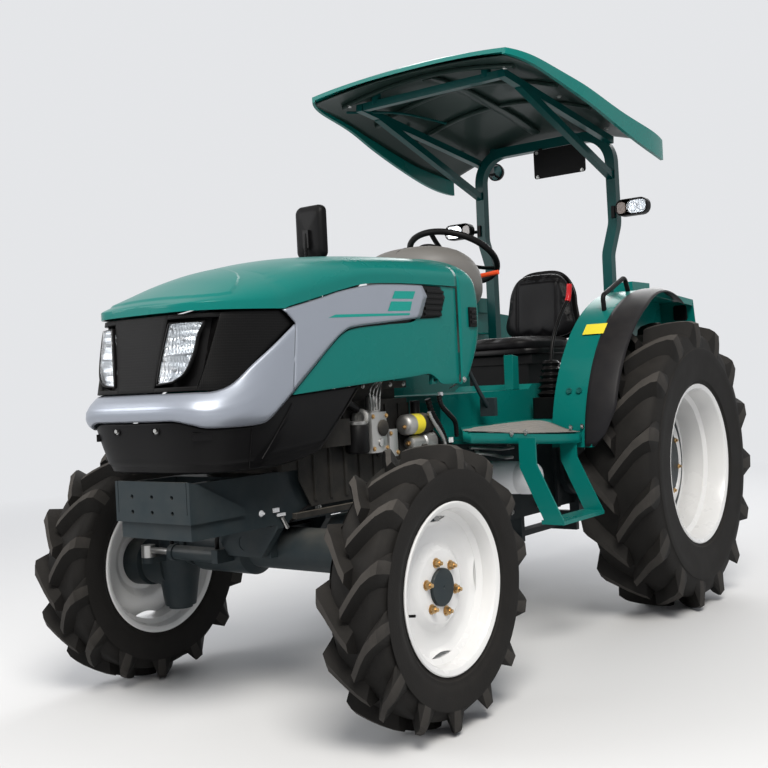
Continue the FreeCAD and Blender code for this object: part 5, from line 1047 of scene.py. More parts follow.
# %% Steering wheel and stalk
HUB = np.array((0, FRONT_Y + 1.297, 1.680))
TILT = math.radians(30)
WHEEL_AXIS = np.array((0, math.sin(TILT), math.cos(TILT)))
face_on = pointing(WHEEL_AXIS)
t = np.linspace(0, 2 * math.pi, 96, endpoint=False)
rim = np.stack([np.zeros(96), .205 * np.cos(t), .205 * np.sin(t)], -1)
grip = moved(swept(rim, round_section(.0145, 14), up=(1, 0, 0), closed=True), HUB, face_on)
cap = turned([(.030, 1e-4), (.029, .020), (.024, .034), (.010, .040), (-.030, .038), (-.046, .028),
              (-.060, .024), (-.060, 1e-4)], steps=40, loop=False)
wheel_parts = [(grip, "black_plastic"), (moved(cap, HUB, face_on), "black_satin")]
for angle in (90, 215, 325):
    c, s = math.cos(math.radians(angle)), math.sin(math.radians(angle))
    path = [(x, r * c, r * s) for x, r in ((-.006, .030), (-.020, .075), (-.016, .140), (-.002, .200))]
    spoke = swept(smooth_line(path, 6), soft_rectangle(.026, .007, .003, 3), up=(1, 0, 0))
    wheel_parts.append((moved(spoke, HUB, face_on), "black_satin"))
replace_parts(piece("steering_wheel_rim", wheel_parts, "steering_wheel", sharp=40),
            "steering_wheel")

folds = [(k * .016, .036 + .004 * (k % 2)) for k in range(-9, -3)]
grip_line = [(.170, -.80, 1.578), (.20, -.80, 1.580), (.245, -.80, 1.584), (.263, -.80, 1.585)]
column_parts = [
    (lathe(HUB, WHEEL_AXIS, folds, 32), "rubber_trim"),
    (rod((.040, HUB[1] - .040, 1.600), (.175, HUB[1] - .047, 1.577), .0065, 12), "black_satin"),
    (swept(grip_line, soft_rectangle(.016, .020, .007, 4)), "orange_plastic"),
    (lathe(HUB - WHEEL_AXIS * .175, WHEEL_AXIS, [(-.02, .045), (.03, .050), (.05, .040)]), "black_plastic")]
piece("column_boot", column_parts, "chassis", sharp=45)
print("cowl, dash and steering wheel drawn")

# %% [markdown]
# ## Seat
# A pad starts as a super-ellipsoid: a box whose faces swell and whose edges are round. It is then
# remeshed evenly, blown up for twenty frames as cloth with air inside, and no point may move
# further than the set reach. Seams are pressed in afterwards, and the piping is a thin round tube.

# %% Pads
def pad(centre, size, flat=.45, edge=.55):
    """Super-ellipsoid: cos and sin of two angles, each to a power below one, times half the size."""
    v = np.linspace(-math.pi / 2, math.pi / 2, 40)[:, None]
    u = np.linspace(0, 2 * math.pi, 64, endpoint=False)[None, :]
    x = power(np.cos(v), edge) * power(np.cos(u), flat)
    y = power(np.cos(v), edge) * power(np.sin(u), flat)
    z = power(np.sin(v), edge) * np.ones_like(u)
    return grid(np.stack([x, y, z], -1) * np.array(size) / 2 + centre, ring=True)


def bent(shape, rule):
    """The shape with each point moved by the rule."""
    return rule(shape[0]), shape[1]


def points_of(mesh):
    """A mesh's points as rows."""
    spots = np.empty(len(mesh.vertices) * 3)
    mesh.vertices.foreach_get("co", spots)
    return spots.reshape(-1, 3)


MOMENTS = 20


def plump(thing, reach):
    """Swells a pad as cloth with air inside; a point's move is shortened to the reach."""
    bpy.context.view_layer.objects.active = thing
    thing.select_set(True)
    even = thing.modifiers.new("even", "REMESH")
    even.voxel_size, even.use_smooth_shade = .006, True
    bpy.ops.object.modifier_apply(modifier="even")
    start = points_of(thing.data)
    air = thing.modifiers.new("air", "CLOTH")
    air.settings.use_pressure, air.settings.uniform_pressure_force = True, 4.0
    air.settings.effector_weights.gravity = 0
    air.point_cache.frame_end = MOMENTS
    for moment in range(1, MOMENTS + 1):
        bpy.context.scene.frame_set(moment)
    move = points_of(thing.evaluated_get(bpy.context.evaluated_depsgraph_get()).to_mesh()) - start
    thing.modifiers.remove(air)
    length = np.linalg.norm(move, axis=1)[:, None]
    move *= np.minimum(1, reach / np.maximum(length, 1e-6))
    thing.data.vertices.foreach_set("co", (start + move).ravel())
    bpy.context.scene.frame_set(1)
    thing.data.polygons.foreach_set("use_smooth", np.ones(len(thing.data.polygons), bool))


def pressed(thing, depth):
    """Moves each point of a pad by the rule depth(x, y, z), written in metres from the rear axle."""
    spots = points_of(thing.data) - (0, AXLE_Y, 0)
    spots = spots + depth(*spots.T)
    thing.data.vertices.foreach_set("co", (spots + (0, AXLE_Y, 0)).ravel())
    thing.data.update()


def groove(value, centre, width):
    """A soft valley: exp of minus the squared distance from its centre in widths."""
    return np.exp(-((value - centre) / width) ** 2)


def seat_form(points):
    """Narrows the pad towards the front, lifts its front edge a little and its sides with x squared."""
    x, y, z = points.T
    x = x * (1 - .12 * smooth_step(-y, .12, .45))
    z = z + .004 * smooth_step(-y, .33, .45) + .006 * np.clip(np.abs(x) / .2, 0, 1) ** 2 * (z > 1.26)
    return np.stack([x, y, z], -1)


def narrowed(x, z):
    """The backrest's x at a height: narrower towards the round top, wider towards the foot."""
    return x * (1 - .16 * smooth_step(z, 1.50, 1.67) + .20 * smooth_step(-z, -1.50, -1.31))


def leaning(y, z):
    """The backrest's y at a height: it leans back in a straight line."""
    return y + .016 * (z - 1.48) / .19


def back_form(points):
    """Narrows the backrest to a round top and leans it back."""
    x, y, z = points.T
    return np.stack([narrowed(x, z), leaning(y, z), z], -1)


def stuffed(thing):
    """One more level of faces."""
    finer = thing.modifiers.new("finer", "SUBSURF")
    finer.levels = finer.render_levels = 1


flat_pad = pad((0, -.180, 1.270), (.420, .510, .068))
cushion = piece("seat_pad", [(bent(flat_pad, seat_form), "seat_vinyl")], "chassis")
plump(cushion, .011)
pressed(cushion, lambda x, y, z: np.stack([0 * x, 0 * x, -1.0 * (z > 1.262) * (
    .005 * groove(np.abs(x), .125, .006) * (y > -.36) + .005 * groove(y, -.365, .006) * (np.abs(x) < .13)
    + .008 * groove(np.abs(x), 0, .10) * groove(y, -.12, .14))], -1))
stuffed(cushion)
BACK_Z = 1.478
ROUND = .62
tall_pad = pad((0, .055, BACK_Z), (.376, .062, .350), flat=ROUND, edge=.5)
backrest = piece("seat_back_pad", [(bent(tall_pad, back_form), "seat_vinyl")], "chassis")
plump(backrest, .010)
pressed(backrest, lambda x, y, z: np.stack([0 * x, (y < .06) * (
    .005 * groove(np.abs(x), .115, .006) * (z < 1.60) + .005 * groove(z, 1.605, .006) * (np.abs(x) < .12)
    + .006 * groove(np.abs(x), 0, .09) * groove(z, 1.46, .12)), 0 * x], -1))
stuffed(backrest)
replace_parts(cushion, "seat_cushion")
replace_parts(backrest, "seat_back")

pan = layers(soft_rectangle(.452, .525, .085, 10), [
    (.60, 1.219), (.94, 1.221), (.995, 1.229), (1.0, 1.243), (.985, 1.252), (.955, 1.249), (.60, 1.240)], 2)
u = np.linspace(0, 2 * math.pi, 72, endpoint=False)
z = BACK_Z + .182 * power(np.sin(u), ROUND)
x = narrowed(.192 * power(np.cos(u), ROUND), z)
y = leaning(.087, z)
shield = grid(np.stack([np.stack([x * k, y + d, BACK_Z + (z - BACK_Z) * k], -1) for k, d in (
    (.2, .012), (.9, .012), (.985, .006), (1.0, -.004), (.985, -.006), (.2, .003))]), ring=True)
piping = swept(np.stack([x, y, z], -1), round_section(.004, 8), up=(0, 1, 0), closed=True)
shells = [(moved(pan, (0, -.178, 0)), "black_satin"), (shield, "black_satin"), (piping, "black_plastic")]
piece("seat_shell", shells, "chassis")
print("seat pads:", len(cushion.data.vertices), "and", len(backrest.data.vertices), "points")

# %% [markdown]
# ## Platform and controls
# The mat is ribbed: its height is a rounded square wave of the distance across. The levers stand in
# folded rubber boots, drawn as a zigzag turned about the lever.

# %% Floor and mats
FLOOR_TOP = .920
FLOOR_FALL = .055
INNER_EDGE = .205


def outer_edge(y):
    """The floor's outer x: it flares in a straight line back to the fender's front corner."""
    return np.interp(y, (-1.39, -.745), (.452, .600))


def floor_height(x):
    """The floor's top: level, with a smooth fall towards its outer edge."""
    return FLOOR_TOP - FLOOR_FALL * smooth_step(x, .40, .62)


def sheet_on_floor(x0, y0, y1, rise, reach=0.0, ribs=0.0):
    """A sheet over the floor: its ribs follow a clipped sine of x, and its outer edge ripples."""
    xs = np.linspace(0, 1, 97)
    ys = np.linspace(y0, y1, 28)
    start = np.interp(ys, (-1.39, -1.08), (max(.415, x0 + .03), x0))
    x = start[:, None] + (outer_edge(ys)[:, None] + reach - start[:, None]) * xs[None, :]
    wave = np.clip(2.2 * np.sin(x / .022 * 2 * math.pi), -1, 1)
    inside = ((xs > .03) & (xs < .97))[None, :] & ((ys > y0 + .03) & (ys < y1 - .03))[:, None]
    ripple = .010 * np.clip(xs - .75, 0, 1)[None, :] * (1 - np.cos(ys * 11))[:, None] * (ribs > 0)
    height = floor_height(x) + rise + ribs * wave * inside + ripple
    return np.stack([x, np.broadcast_to(ys[:, None], x.shape), height], -1)


deck = sheet_on_floor(INNER_EDGE, -1.388, -.745, 0)
x, y = np.meshgrid(np.linspace(INNER_EDGE, .447, 12), (-.745, -.335))
rear_deck = grid(np.stack([x, y, floor_height(x)], -1))
skirt_line = np.concatenate([deck[0, ::12], deck[1:, -1]])
skirt = grid(np.stack([skirt_line - (0, 0, k) for k in (0, .020, .040)]))
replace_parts(piece("floor_deck", pairs([(joined(grid(deck), rear_deck, skirt), "teal_gloss")]), "chassis",
                  thickness=.005), "floor_panels")
# The braces under the floor take the darker teal, a painted shade.
braces = [(block(INNER_EDGE, float(outer_edge(y)) - .03, y - .02, y + .02, .852, .868), "teal_painted_shade")
          for y in (-1.13, -.80)]
piece("floor_braces", pairs(braces), "chassis", bevel=.002)
mat = sheet_on_floor(.375, -1.386, -.760, .0065, reach=.004, ribs=.0022)
piece("floor_mats", pairs([(grid(mat), "mat_rubber")]), "chassis", thickness=.003)

# %% Levers
FOLDS = 13
radii = .068 * np.linspace(1, .62, FOLDS) * np.where(np.arange(FOLDS) % 2, 1, .78)
gaiter = list(zip(np.linspace(0, .172, FOLDS), radii))
bar = [(.296, -.418, 1.17), (.296, -.385, 1.28), (.296, -.325, 1.37), (.297, -.260, 1.44),
       (.298, -.220, 1.475)]
lever_parts = [
    (lathe((.298, -.430, 1.016), (-.02, .09, 1), gaiter, 36), "black_satin"),
    (prism(soft_rectangle(.140, .140, .020, 4) + (.305, -.440), .921, 1.018, 2), "black_plastic"),
    (tube(bar, .0085, 12), "black_satin"),
    (tube([(.298, -.222, 1.470), (.299, -.208, 1.500), (.302, -.200, 1.555)], .0135), "red_plastic")]
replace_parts(piece("lever_set", lever_parts, "chassis", bevel=.0015, sharp=42), "levers")

knob = turned([(-.024, 1e-4), (-.018, .016), (0, .022), (.016, .019), (.024, .009), (.025, 1e-4)], 24,
              loop=False)
post = prism([(-.602, 1.062), (-.548, 1.062), (-.544, 1.214), (-.598, 1.222)], .150, .196)
low_controls = [
    (rod((.228, -.470, .925), (.244, -.448, .965), .006, 12), "bare_steel"),
    (moved(knob, (.248, -.442, .975), pointing((.45, .18, .9))), "red_plastic"),
    (slab((.003, .072, .048), (.2085, -.350, .985)), "lilac_film"),
    (joined(slab((.060, .060, .006), (.165, -.575, 1.0635)), post), "teal_gloss")]
piece("low_controls", low_controls, "chassis", bevel=.002)

# %% Fender marks
ARCH_Z = .773
ARCH_RADIUS = .735


def on_fender(x, z, proud):
    """A point on the front of the left fender's arch; its angle is the arcsine of height over radius."""
    turn = math.asin((z - ARCH_Z) / ARCH_RADIUS)
    radius = ARCH_RADIUS + proud
    return np.array((x, -radius * math.cos(turn), ARCH_Z + radius * math.sin(turn)))


label = np.array([[on_fender(x, z, .0075) for x in np.linspace(.520, .622, 6)]
                  for z in np.linspace(1.288, 1.334, 5)])
marks = [(grid(label), "yellow_film")]
for x in (.522, .570):
    place = on_fender(x, 1.046, .006)
    rim = [(-.001, .014), (.003, .013), (.003, .009), (.0005, .007)]
    # The rings take the darker teal, a painted shade.
    marks.append((lathe(place, place - (x, 0, ARCH_Z), rim, 24), "teal_painted_shade"))
piece("fender_marks", marks, "chassis")

# %% Fender trims
def arch_strip(turns, inner, outer, radius, droop):
    """A strip round the fender's centre: its radius falls by droop with the cube of the way across."""
    share = np.linspace(0, 1, 10)
    rows = []
    for turn, x0, x1, middle in zip(turns, inner, outer, radius):
        r = middle + .004 - droop * share ** 3
        rows.append(np.stack([x0 + (x1 - x0) * share, -r * np.cos(turn), ARCH_Z + r * np.sin(turn)], -1))
    return grid(np.stack(rows))


share = np.linspace(0, 1, 56)
trim = arch_strip(np.radians(np.linspace(2.8, 112, 56)), np.interp(share, (0, .5, 1), (.610, .610, .632)),
                  np.interp(share, (0, .04, .12, .55, .85, 1), (.650, .700, .742, .750, .708, .690)),
                  np.interp(share, (0, .75, 1), (ARCH_RADIUS, ARCH_RADIUS, .737)), .020)
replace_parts(piece("fender_trim", pairs([(trim, "rubber_trim")]), "chassis", thickness=.005),
            "fender_trims")
print("platform and controls drawn")

# %% [markdown]
# ## Engine side
# Only the left side of the engine shows, between the skirt, the cowl and the front tyre. It holds a
# starter, a pump with an elbow, a filter and hoses. The ribs of a hose are a ripple in its radius.

# %% Engine fittings
LEFT, BACK, UP = (1, 0, 0), (0, 1, 0), (0, 0, 1)
AHEAD = (0, -1, 0)
RIPPLE = .12


def hose(points, radius, pitch=.010):
    """A ribbed hose: radius times one plus the ripple times the sine of the distance along it."""
    path = smooth_line(points, 14)
    length = np.concatenate([[0], np.cumsum(np.linalg.norm(np.diff(path, axis=0), axis=1))])
    fine = np.arange(0, length[-1], pitch / 4)
    path = np.stack([np.interp(fine, length, line) for line in path.T], 1)
    swell = radius * (1 + RIPPLE * np.sin(2 * math.pi * fine / pitch))
    return swept(path, swell[:, None, None] * round_section(1.0, 14))


STARTER_X, STARTER_Z = .237, .955
starter = [
    (lathe((STARTER_X, -1.540, STARTER_Z), BACK, [(0, .022), (.004, .033), (.014, .040), (.050, .041),
                                                     (.052, .039)]), "cast_aluminium"),
    (lathe((STARTER_X, -1.488, STARTER_Z), BACK, [(0, .0405), (.052, .0405)]), "yellow_film"),
    (lathe((STARTER_X, -1.436, STARTER_Z), BACK, [(0, .041), (.040, .041), (.046, .038), (.070, .036),
                                                  (.076, .026)]), "dark_casting"),
    (lathe((.236, -1.500, .882), BACK, [(0, .018), (.004, .025), (.020, .028), (.080, .028), (.086, .034),
                                        (.150, .036), (.152, .030), (.130, .028)]), "cast_aluminium"),
    (nut((.236, -1.502, .882), AHEAD, .014, .010, .008), "gold_zinc"),
    (nut((.250, -1.542, .948), AHEAD, .011, .008, .006), "gold_zinc")]
pump = [
    (prism(soft_rectangle(.078, .100, .014, 3) + (.224, -1.715), .865, 1.015, 2), "cast_aluminium"),
    (lathe((.226, -1.715, 1.012), UP, [(0, .030), (.010, .032), (.014, .024), (.060, .022), (.066, .016)]),
     "cast_aluminium"),
    (prism(soft_rectangle(.066, .058, .010, 3) + (.222, -1.620), .842, .945, 2), "cast_aluminium"),
    (lathe((.224, -1.760, .995), (.25, -1, .1), [(0, .024), (.020, .026), (.026, .034), (.040, .034),
                                                 (.044, .024), (.044, .019), (.020, .017)]),
     "cast_aluminium"),
    (lathe((.262, -1.700, .955), LEFT, [(0, .030), (.006, .031), (.010, .026), (.012, .012)]),
     "dark_casting"),
    (lathe((.262, -1.712, .900), LEFT, [(0, .016), (.006, .016), (.008, .010)]), "bare_steel"),
    (prism(soft_rectangle(.060, .150, .012, 3) + (.220, -1.945), .905, 1.000, 2), "dark_casting")]
for x, y, z in ((.262, -1.755, 1.000), (.262, -1.675, 1.000), (.262, -1.755, .880), (.262, -1.675, .880),
                (.255, -1.640, .930), (.255, -1.600, .856)):
    pump.append((nut((x, y, z), LEFT, .011, .006), "gold_zinc"))
fuel_lines = [tube([(.250, -1.700 - .016 * k, 1.020), (.258, -1.700 - .016 * k, 1.090 + .008 * k),
                    (.225, -1.640 + .03 * k, 1.150), (.190, -1.560 + .045 * k, 1.165)], .0035, 8)
              for k in range(4)]
pump.append((joined(*fuel_lines), "bare_steel"))
filter_parts = [
    (lathe((.236, -1.820, .868), UP, [(0, .030), (.004, .040), (.012, .043), (.100, .043), (.106, .038)]),
     "black_plastic"),
    (lathe((.236, -1.820, .974), UP, [(0, .034), (.012, .036), (.014, .020)]), "cast_aluminium")]
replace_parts(piece("engine_fittings", starter + pump + filter_parts, "chassis", sharp=40),
            "engine_side_parts")

cover = [(-2.10, .80), (-2.04, .70), (-1.50, .70), (-1.44, .78), (-1.44, 1.06), (-2.10, 1.06)]
plate = [(prism(cover, .1855, .191), "dark_casting"),
         (block(.1855, .200, -2.14, -1.45, 1.100, 1.128), "dark_casting"),
         (block(.1855, .204, -2.14, -1.45, .668, .688), "dark_casting")]
for y in np.linspace(-2.02, -1.50, 7):
    plate.append((block(.190, .198, y - .007, y + .007, .72, 1.04), "dark_casting"))
    plate.append((nut((.200, y + .03, 1.114), LEFT, .012, .007), "bare_steel"))
piece("engine_side_ribs", pairs(plate), "chassis", bevel=.0015)

hoses = [
    (hose([(.300, -1.372, 1.062), (.306, -1.362, 1.020), (.304, -1.312, .985), (.300, -1.262, .950),
           (.290, -1.240, .890)], .0095), "black_satin"),
    (hose([(.282, -1.420, 1.000), (.286, -1.405, .968), (.292, -1.360, .915), (.296, -1.338, .872),
           (.290, -1.325, .80)], .0075), "bare_steel"),
    (hose([(.262, -1.395, 1.05), (.268, -1.375, .99), (.272, -1.330, .93), (.270, -1.290, .86),
           (.262, -1.270, .78)], .012, pitch=.014), "black_satin"),
    (tube([(.232, -1.36, .93), (.250, -1.33, .90), (.262, -1.30, .84), (.255, -1.27, .75),
           (.235, -1.24, .70)], .009), "black_satin"),
    (tube([(.220, -1.80, 1.03), (.228, -1.88, 1.06), (.226, -2.00, 1.07), (.215, -2.12, 1.10)], .016),
     "black_satin"),
    (tube([(.285, -1.10, .812), (.300, -.99, .795), (.306, -.90, .775), (.300, -.82, .770)], .007),
     "bare_steel"),
    (tube([(.275, -1.12, .835), (.286, -1.00, .822), (.292, -.90, .812), (.296, -.80, .812)], .007),
     "bare_steel"),
    (slab((.012, .018, .014), (.302, -1.362, 1.068)), "white_plastic"),
    (slab((.012, .016, .020), (.292, -1.286, .880)), "white_plastic"),
    (lathe((.205, -1.405, 1.045), (0, 0, -1), [(0, .020), (.05, .020), (.056, .026), (.16, .026),
                                               (.165, .018)]), "black_plastic")]
piece("engine_hoses", hoses, "chassis", sharp=60)
bowl = [(0, .050), (.004, .066), (.012, .070), (.150, .070), (.158, .066), (.166, .070), (.205, .070),
        (.226, .066), (.241, .056), (.249, .040), (.252, .020)]
canister = [(lathe((.226, -.905, .690), LEFT, bowl, 40), "white_plastic"),
            (lathe((.200, -.905, .690), LEFT, [(0, .040), (.026, .040)]), "cast_aluminium")]
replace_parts(piece("filter_canister", canister, "chassis", sharp=50), "hydraulic_filter")
print("engine fittings drawn")

# %% [markdown]
# ## Roof, lamps and mirrors
# The lining follows the roof's own rings a little lower: each is an arch whose height falls from
# ridge to edge with the square of the distance across. The lamps are capsules: a round-ended box
# with a bright plate behind each clear window.

# %% Roof lining and frame fittings
ROOF_Z = 2.330
ROOF_RINGS = np.array([(-1.070, .500, .150, .123), (-1.035, .528, .168, .116), (-.820, .560, .186, .094),
                       (-.575, .588, .182, .055), (-.150, .616, .138, -.022), (.100, .622, .094, -.048),
                       (.225, .612, .064, -.064)])


def roof_arch(x, half, ridge, edge):
    """Height at x: it falls from ridge to edge with the square of the distance across."""
    return ROOF_Z + ridge - (ridge - edge) * (x / half) ** 2


def under_roof(x, y, drop=.036):
    """A point below the roof lining: the arch at this x and y, less the drop."""
    half, ridge, edge = (np.interp(y, ROOF_RINGS[:, 0], ROOF_RINGS[:, k]) for k in (1, 2, 3))
    return np.array((x, y, roof_arch(x, half, ridge, edge) - drop))


v = np.linspace(-1, 1, 49)
lining = np.stack([np.stack([half * v, np.full(49, y), roof_arch(half * v, half, ridge, edge) - .021], -1)
                   for y, half, ridge, edge in smooth_line(ROOF_RINGS, 6)])
piece("roof_lining", [(grid(lining), "lining_grey")], "chassis", thickness=.003)


def rib(spots, width, depth):
    """A bar of soft rectangular section through the spots."""
    return swept(np.array(spots), soft_rectangle(width, depth, .004, 3)), "lining_grey"


ribs = [rib([under_roof(x, y, .030) for x in np.linspace(-.50, .50, 24)], .030, .016) for y in (-.62, -.30)]
ribs.append(rib([under_roof(x, -.93, .032) for x in np.linspace(-.46, .46, 24)], .022, .018))
ribs.append(rib([under_roof(.0, y, .034) for y in np.linspace(-.90, .10, 24)], .050, .016))
cable = [under_roof(-.44, -.93, .060), under_roof(-.30, -.70, .075), under_roof(-.20, -.45, .10)]
ribs.append((tube(cable, .006, 8), "blue_green"))
for x in (-.42, .42):
    for y in (-.93, -.45, .05):
        ribs.append((nut(under_roof(x, y), (0, 0, -1), .016, .009), "bare_steel"))
piece("roof_ribs", ribs, "chassis", sharp=45)

board = [(prism(soft_rectangle(.296, .150, .012, 3) + (.108, 2.228), .1345, .1385, 1), "black_plastic")]
for x, z in ((-.020, 2.163), (.236, 2.163), (-.020, 2.290), (.236, 2.290)):
    board.append((nut((x, .134, z), AHEAD, .012, .006), "bare_steel"))
for x in (.00, .216):
    board.append((slab((.020, .008, .042), (x, .142, 2.291)), "black_plastic"))
piece("blank_board", board, "chassis", bevel=.001)

# %% Lamps
LAMP_Z = 1.932
LENS_X = .538
capsule = layers(soft_rectangle(.172, .084, .03864, 8), [
    (1e-3, .052), (.90, .052), (1, .042), (1, .006), (.985, 0), (.90, 0)], 1)
ring = [(0, .024), (.003, .0245), (.003, .021), (-.004, .012)]
lamp = [(moved(capsule, (.510, .092, LAMP_Z)), "black_plastic"),
        (prism(soft_rectangle(.100, .064, .028, 6) + (LENS_X, LAMP_Z), .1005, .108, 1), "chrome"),
        (prism(soft_rectangle(.044, .058, .018, 5) + (.456, LAMP_Z), .094, .104, 1), "tinted_lens")]
lamp += [(lathe((x, .1035, LAMP_Z), AHEAD, ring), "white_plastic") for x in (.516, .562)]
bracket = tube([(.400, .160, 1.925), (.440, .150, 1.925), (.500, .138, 1.930)], .009, 10)
lamp += [(bracket, "black_plastic"), (block(.386, .404, .130, .196, 1.895, 1.955), "black_plastic")]
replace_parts(piece("work_lamps", pairs(lamp), "chassis", bevel=.001), "lamps")
window = prism(soft_rectangle(.104, .070, .030, 6) + (LENS_X, LAMP_Z), .0915, .0945, 1)
piece("work_lamp_windows", pairs([(window, "clear_lens")]), "chassis")

tail = [(prism(soft_rectangle(*size, 4) + (.567, z), *reach, 1), material) for size, z, reach, material in (
    ((.070, .080, .012), 1.411, (.520, .545), "black_plastic"),
    ((.060, .036, .008), 1.430, (.543, .556), "red_lens"),
    ((.060, .028, .008), 1.391, (.543, .556), "amber_lens"))]
piece("tail_lamps", pairs(tail), "chassis", bevel=.0015)

# %% Mirrors
MIRROR_X = -.432
MIRROR_Z = 1.808
shell = layers(soft_rectangle(.158, .240, .030, 6), [
    (1e-3, .022), (.90, .022), (.985, .018), (1, .010), (.99, -.004), (.93, -.016), (.70, -.024),
    (1e-3, -.027)], 1)
arm = [(MIRROR_X, -1.278, 1.800), (MIRROR_X, -1.282, 1.700), (-.425, -1.272, 1.620), (-.380, -1.235, 1.560),
       (-.318, -1.205, 1.530)]
glass = prism(soft_rectangle(.136, .216, .022, 5) + (MIRROR_X, MIRROR_Z), -1.2195, -1.2165, 1)
mirror = [(moved(shell, (MIRROR_X, -1.240, MIRROR_Z)), "black_plastic"), (glass, "mirror_glass"),
          (slab((.032, .020, .080), (MIRROR_X, -1.272, 1.775)), "black_satin"),
          (tube(arm, .0075, 12), "black_satin"),
          (lathe((-.322, -1.207, 1.518), (-.2, .1, 1), [(0, .020), (.008, .020), (.020, .014)], 20),
           "black_satin")]
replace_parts(piece("side_mirror", mirror, "chassis", sharp=45), "mirror")
DISH = (-.345, .262, 2.255)
bowl = [(-.020, .030), (-.014, .044), (.004, .048), (.010, .048), (.012, .044), (.009, .040)]
beacon = [(lathe(DISH, AHEAD, bowl, 36), "black_plastic"),
          (lathe(DISH, AHEAD, [(.0085, .042), (.0100, .041)], 36), "mirror_glass"),
          (tube([(-.360, .190, 2.235), (-.355, .235, 2.240), (-.345, .285, 2.255)], .007, 10),
           "black_plastic")]
piece("rear_mirror", beacon, "chassis", sharp=45)

# %% Bolts and small fittings
bolts = []


def bolt(x, y, z, *sizes):
    """One more plated bolt on each side, facing outwards."""
    bolts.append((nut((x, y, z), LEFT, *sizes), "bare_steel"))


for y in (-1.98, -1.72):
    for z in (.690, .800):
        bolt(.1655, y, z, .019, .010, .005)
for z in (.520, .585):
    for y in (-2.105, -1.995):
        bolt(.345, y, z, .016, .009)
for y in (-1.17, -1.09, -.816, -.736):
    bolt(min(float(outer_edge(y)) + .001, .598), y, .895, .015, .008)
for angle in np.arange(8) * math.pi / 4:
    bolt(.300, -.025 + .115 * math.cos(angle), .673 + .115 * math.sin(angle), .017, .010)
for y in (-1.15, -.90, -.62, -.36):
    for z in (.500, .800):
        bolt(.1655, y, z, .019, .011)
piece("frame_bolts", pairs(bolts), "chassis")

plumbing = [
    (tube([(-.128, -2.200, .560), (-.110, -2.215, .600), (-.080, -2.230, .640), (-.120, -2.240, .690),
           (-.150, -2.20, .72)], .008), "black_satin"),
    (tube([(-.365, -2.200, .562), (-.350, -2.215, .610), (-.300, -2.235, .650), (-.22, -2.240, .690),
           (-.16, -2.18, .73)], .008), "black_satin"),
    (joined(nut((.166, -2.272, .704), LEFT, .014, .008, .006), block(.166, .174, -2.215, -2.190, .700, .714),
            block(.166, .174, -2.196, -2.160, .684, .694)), "white_plastic"),
    (rod((.171, -2.176, .680), (.171, -2.150, .640), .007, 12), "bare_steel"),
    (tube([(.176, -2.140, .660), (.178, -2.05, .700), (.176, -1.90, .730), (.176, -1.66, .720)], .005),
     "black_satin")]
piece("frame_plumbing", plumbing, "chassis", sharp=50)
print("details drawn")

# %% [markdown]
# ## Floor, lights and camera
# A pale floor that fades into the backdrop far from the tractor, one large soft lamp high on the
# left, a weaker one from the right and an even sky keep the colours as they are written. The
# camera stands low on the left, ahead of the tractor, with a normal lens, so that the wheels keep
# their true shape.

# %% Stage
PALE = (.78, .79, .81, 1)


def seen_directly(tree):
    """1 for rays that show a background: from the camera, by reflection, or through glass."""
    rays = tree.nodes.new("ShaderNodeLightPath")
    direct = math_node(tree, "MAXIMUM", rays.outputs["Is Camera Ray"], rays.outputs["Is Glossy Ray"])
    return math_node(tree, "MAXIMUM", direct, rays.outputs["Is Transmission Ray"])


def fade_out(material):
    """Far from the tractor the floor turns into the backdrop: the share rises in a straight line with the
    distance.
    """
    tree = material.node_tree
    where = tree.nodes.new("ShaderNodeTexCoord")
    reach = tree.nodes.new("ShaderNodeVectorMath")
    reach.operation = "LENGTH"
    link(tree, where.outputs["Object"], reach.inputs[0])
    far = math_node(tree, "SUBTRACT", reach.outputs["Value"], 2.2)
    far = math_node(tree, "MULTIPLY", far, .16, clamp=True)
    glow = tree.nodes.new("ShaderNodeEmission")
    glow.inputs["Color"].default_value = PALE
    choose = tree.nodes.new("ShaderNodeMixShader")
    link(tree, math_node(tree, "MULTIPLY", far, seen_directly(tree)), choose.inputs[0])
    link(tree, tree.nodes["Principled BSDF"].outputs[0], choose.inputs[1])
    link(tree, glow.outputs[0], choose.inputs[2])
    link(tree, choose.outputs[0], tree.nodes["Material Output"].inputs["Surface"])


def stage_floor():
    """A plain plane far larger than the tractor."""
    far = 400
    mesh = bpy.data.meshes.new("floor")
    mesh.from_pydata([(-far, -far, -.002), (far, -far, -.002), (far, far, -.002), (-far, far, -.002)], [],
                     [(0, 1, 2, 3)])
    floor = bpy.data.objects.new("floor", mesh)
    bpy.context.collection.objects.link(floor)
    ground = finish("floor_grey", (.62, .62, .62), .8, amount=.0, bump=(40.0, .0), dusty=.0)
    mesh.materials.append(ground)
    fade_out(ground)


stage_floor()

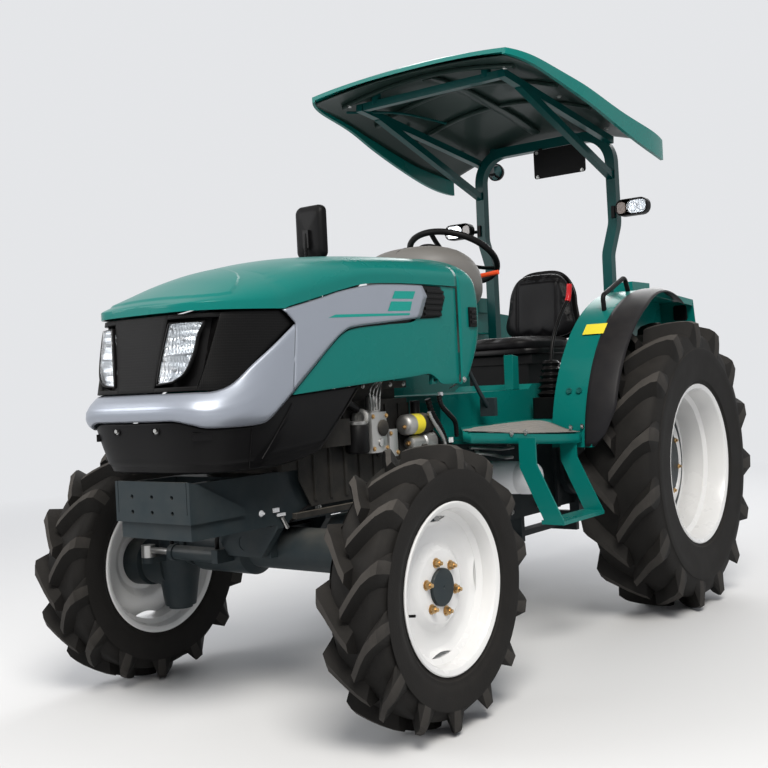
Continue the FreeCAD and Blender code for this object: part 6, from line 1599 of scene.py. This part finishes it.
world = bpy.data.worlds.new("sky")
bpy.context.scene.world = world
world.use_nodes = True
tree = world.node_tree
sky = tree.nodes["Background"]
sky.inputs["Color"].default_value = (.90, .93, 1.0, 1)
sky.inputs["Strength"].default_value = .50
backdrop = tree.nodes.new("ShaderNodeBackground")
backdrop.inputs["Color"].default_value = PALE
choose = tree.nodes.new("ShaderNodeMixShader")
link(tree, seen_directly(tree), choose.inputs[0])
link(tree, sky.outputs[0], choose.inputs[1])
link(tree, backdrop.outputs[0], choose.inputs[2])
link(tree, choose.outputs[0], tree.nodes["World Output"].inputs["Surface"])


def area_lamp(name, place, target, size, power, color=(1, 1, 1)):
    """A square soft lamp that looks at a point."""
    lamp = bpy.data.objects.new(name, bpy.data.lights.new(name, "AREA"))
    lamp.data.size, lamp.data.energy, lamp.data.color = size, power, color
    lamp.location = place
    lamp.rotation_euler = (Vector(target) - Vector(place)).to_track_quat("-Z", "Y").to_euler()
    bpy.context.collection.objects.link(lamp)


area_lamp("key", (4.4, -5.0, 7.5), (0, 0, .8), 4.0, 940, (1, .97, .92))
area_lamp("fill", (-5.0, -6.0, 4.0), (0, -1, .8), 4.0, 260)
area_lamp("back", (-2.0, 6.5, 5.0), (0, 0, 1.2), 5.0, 300)

# %% Camera
YAW, PITCH, ROLL = math.radians(36.88), math.radians(-.14), math.radians(-2.77)
ahead = np.array((-math.sin(YAW) * math.cos(PITCH), math.cos(YAW) * math.cos(PITCH), math.sin(PITCH)))
right = np.cross(ahead, (0, 0, 1))
right /= np.linalg.norm(right)
above = np.cross(right, ahead)
tilted = right * math.cos(ROLL) + above * math.sin(ROLL)
risen = above * math.cos(ROLL) - right * math.sin(ROLL)
camera = bpy.data.objects.new("camera", bpy.data.cameras.new("camera"))
camera.data.lens = 49.978125
camera.data.sensor_width = 36
place = (2.663, -4.878 + AXLE_Y, 1.128)
columns = np.stack([tilted, risen, -ahead, place], 1).tolist()
camera.matrix_world = Matrix(columns + [[0, 0, 0, 1]])
bpy.context.collection.objects.link(camera)
bpy.context.scene.camera = camera
bpy.context.scene.view_settings.view_transform = "Standard"
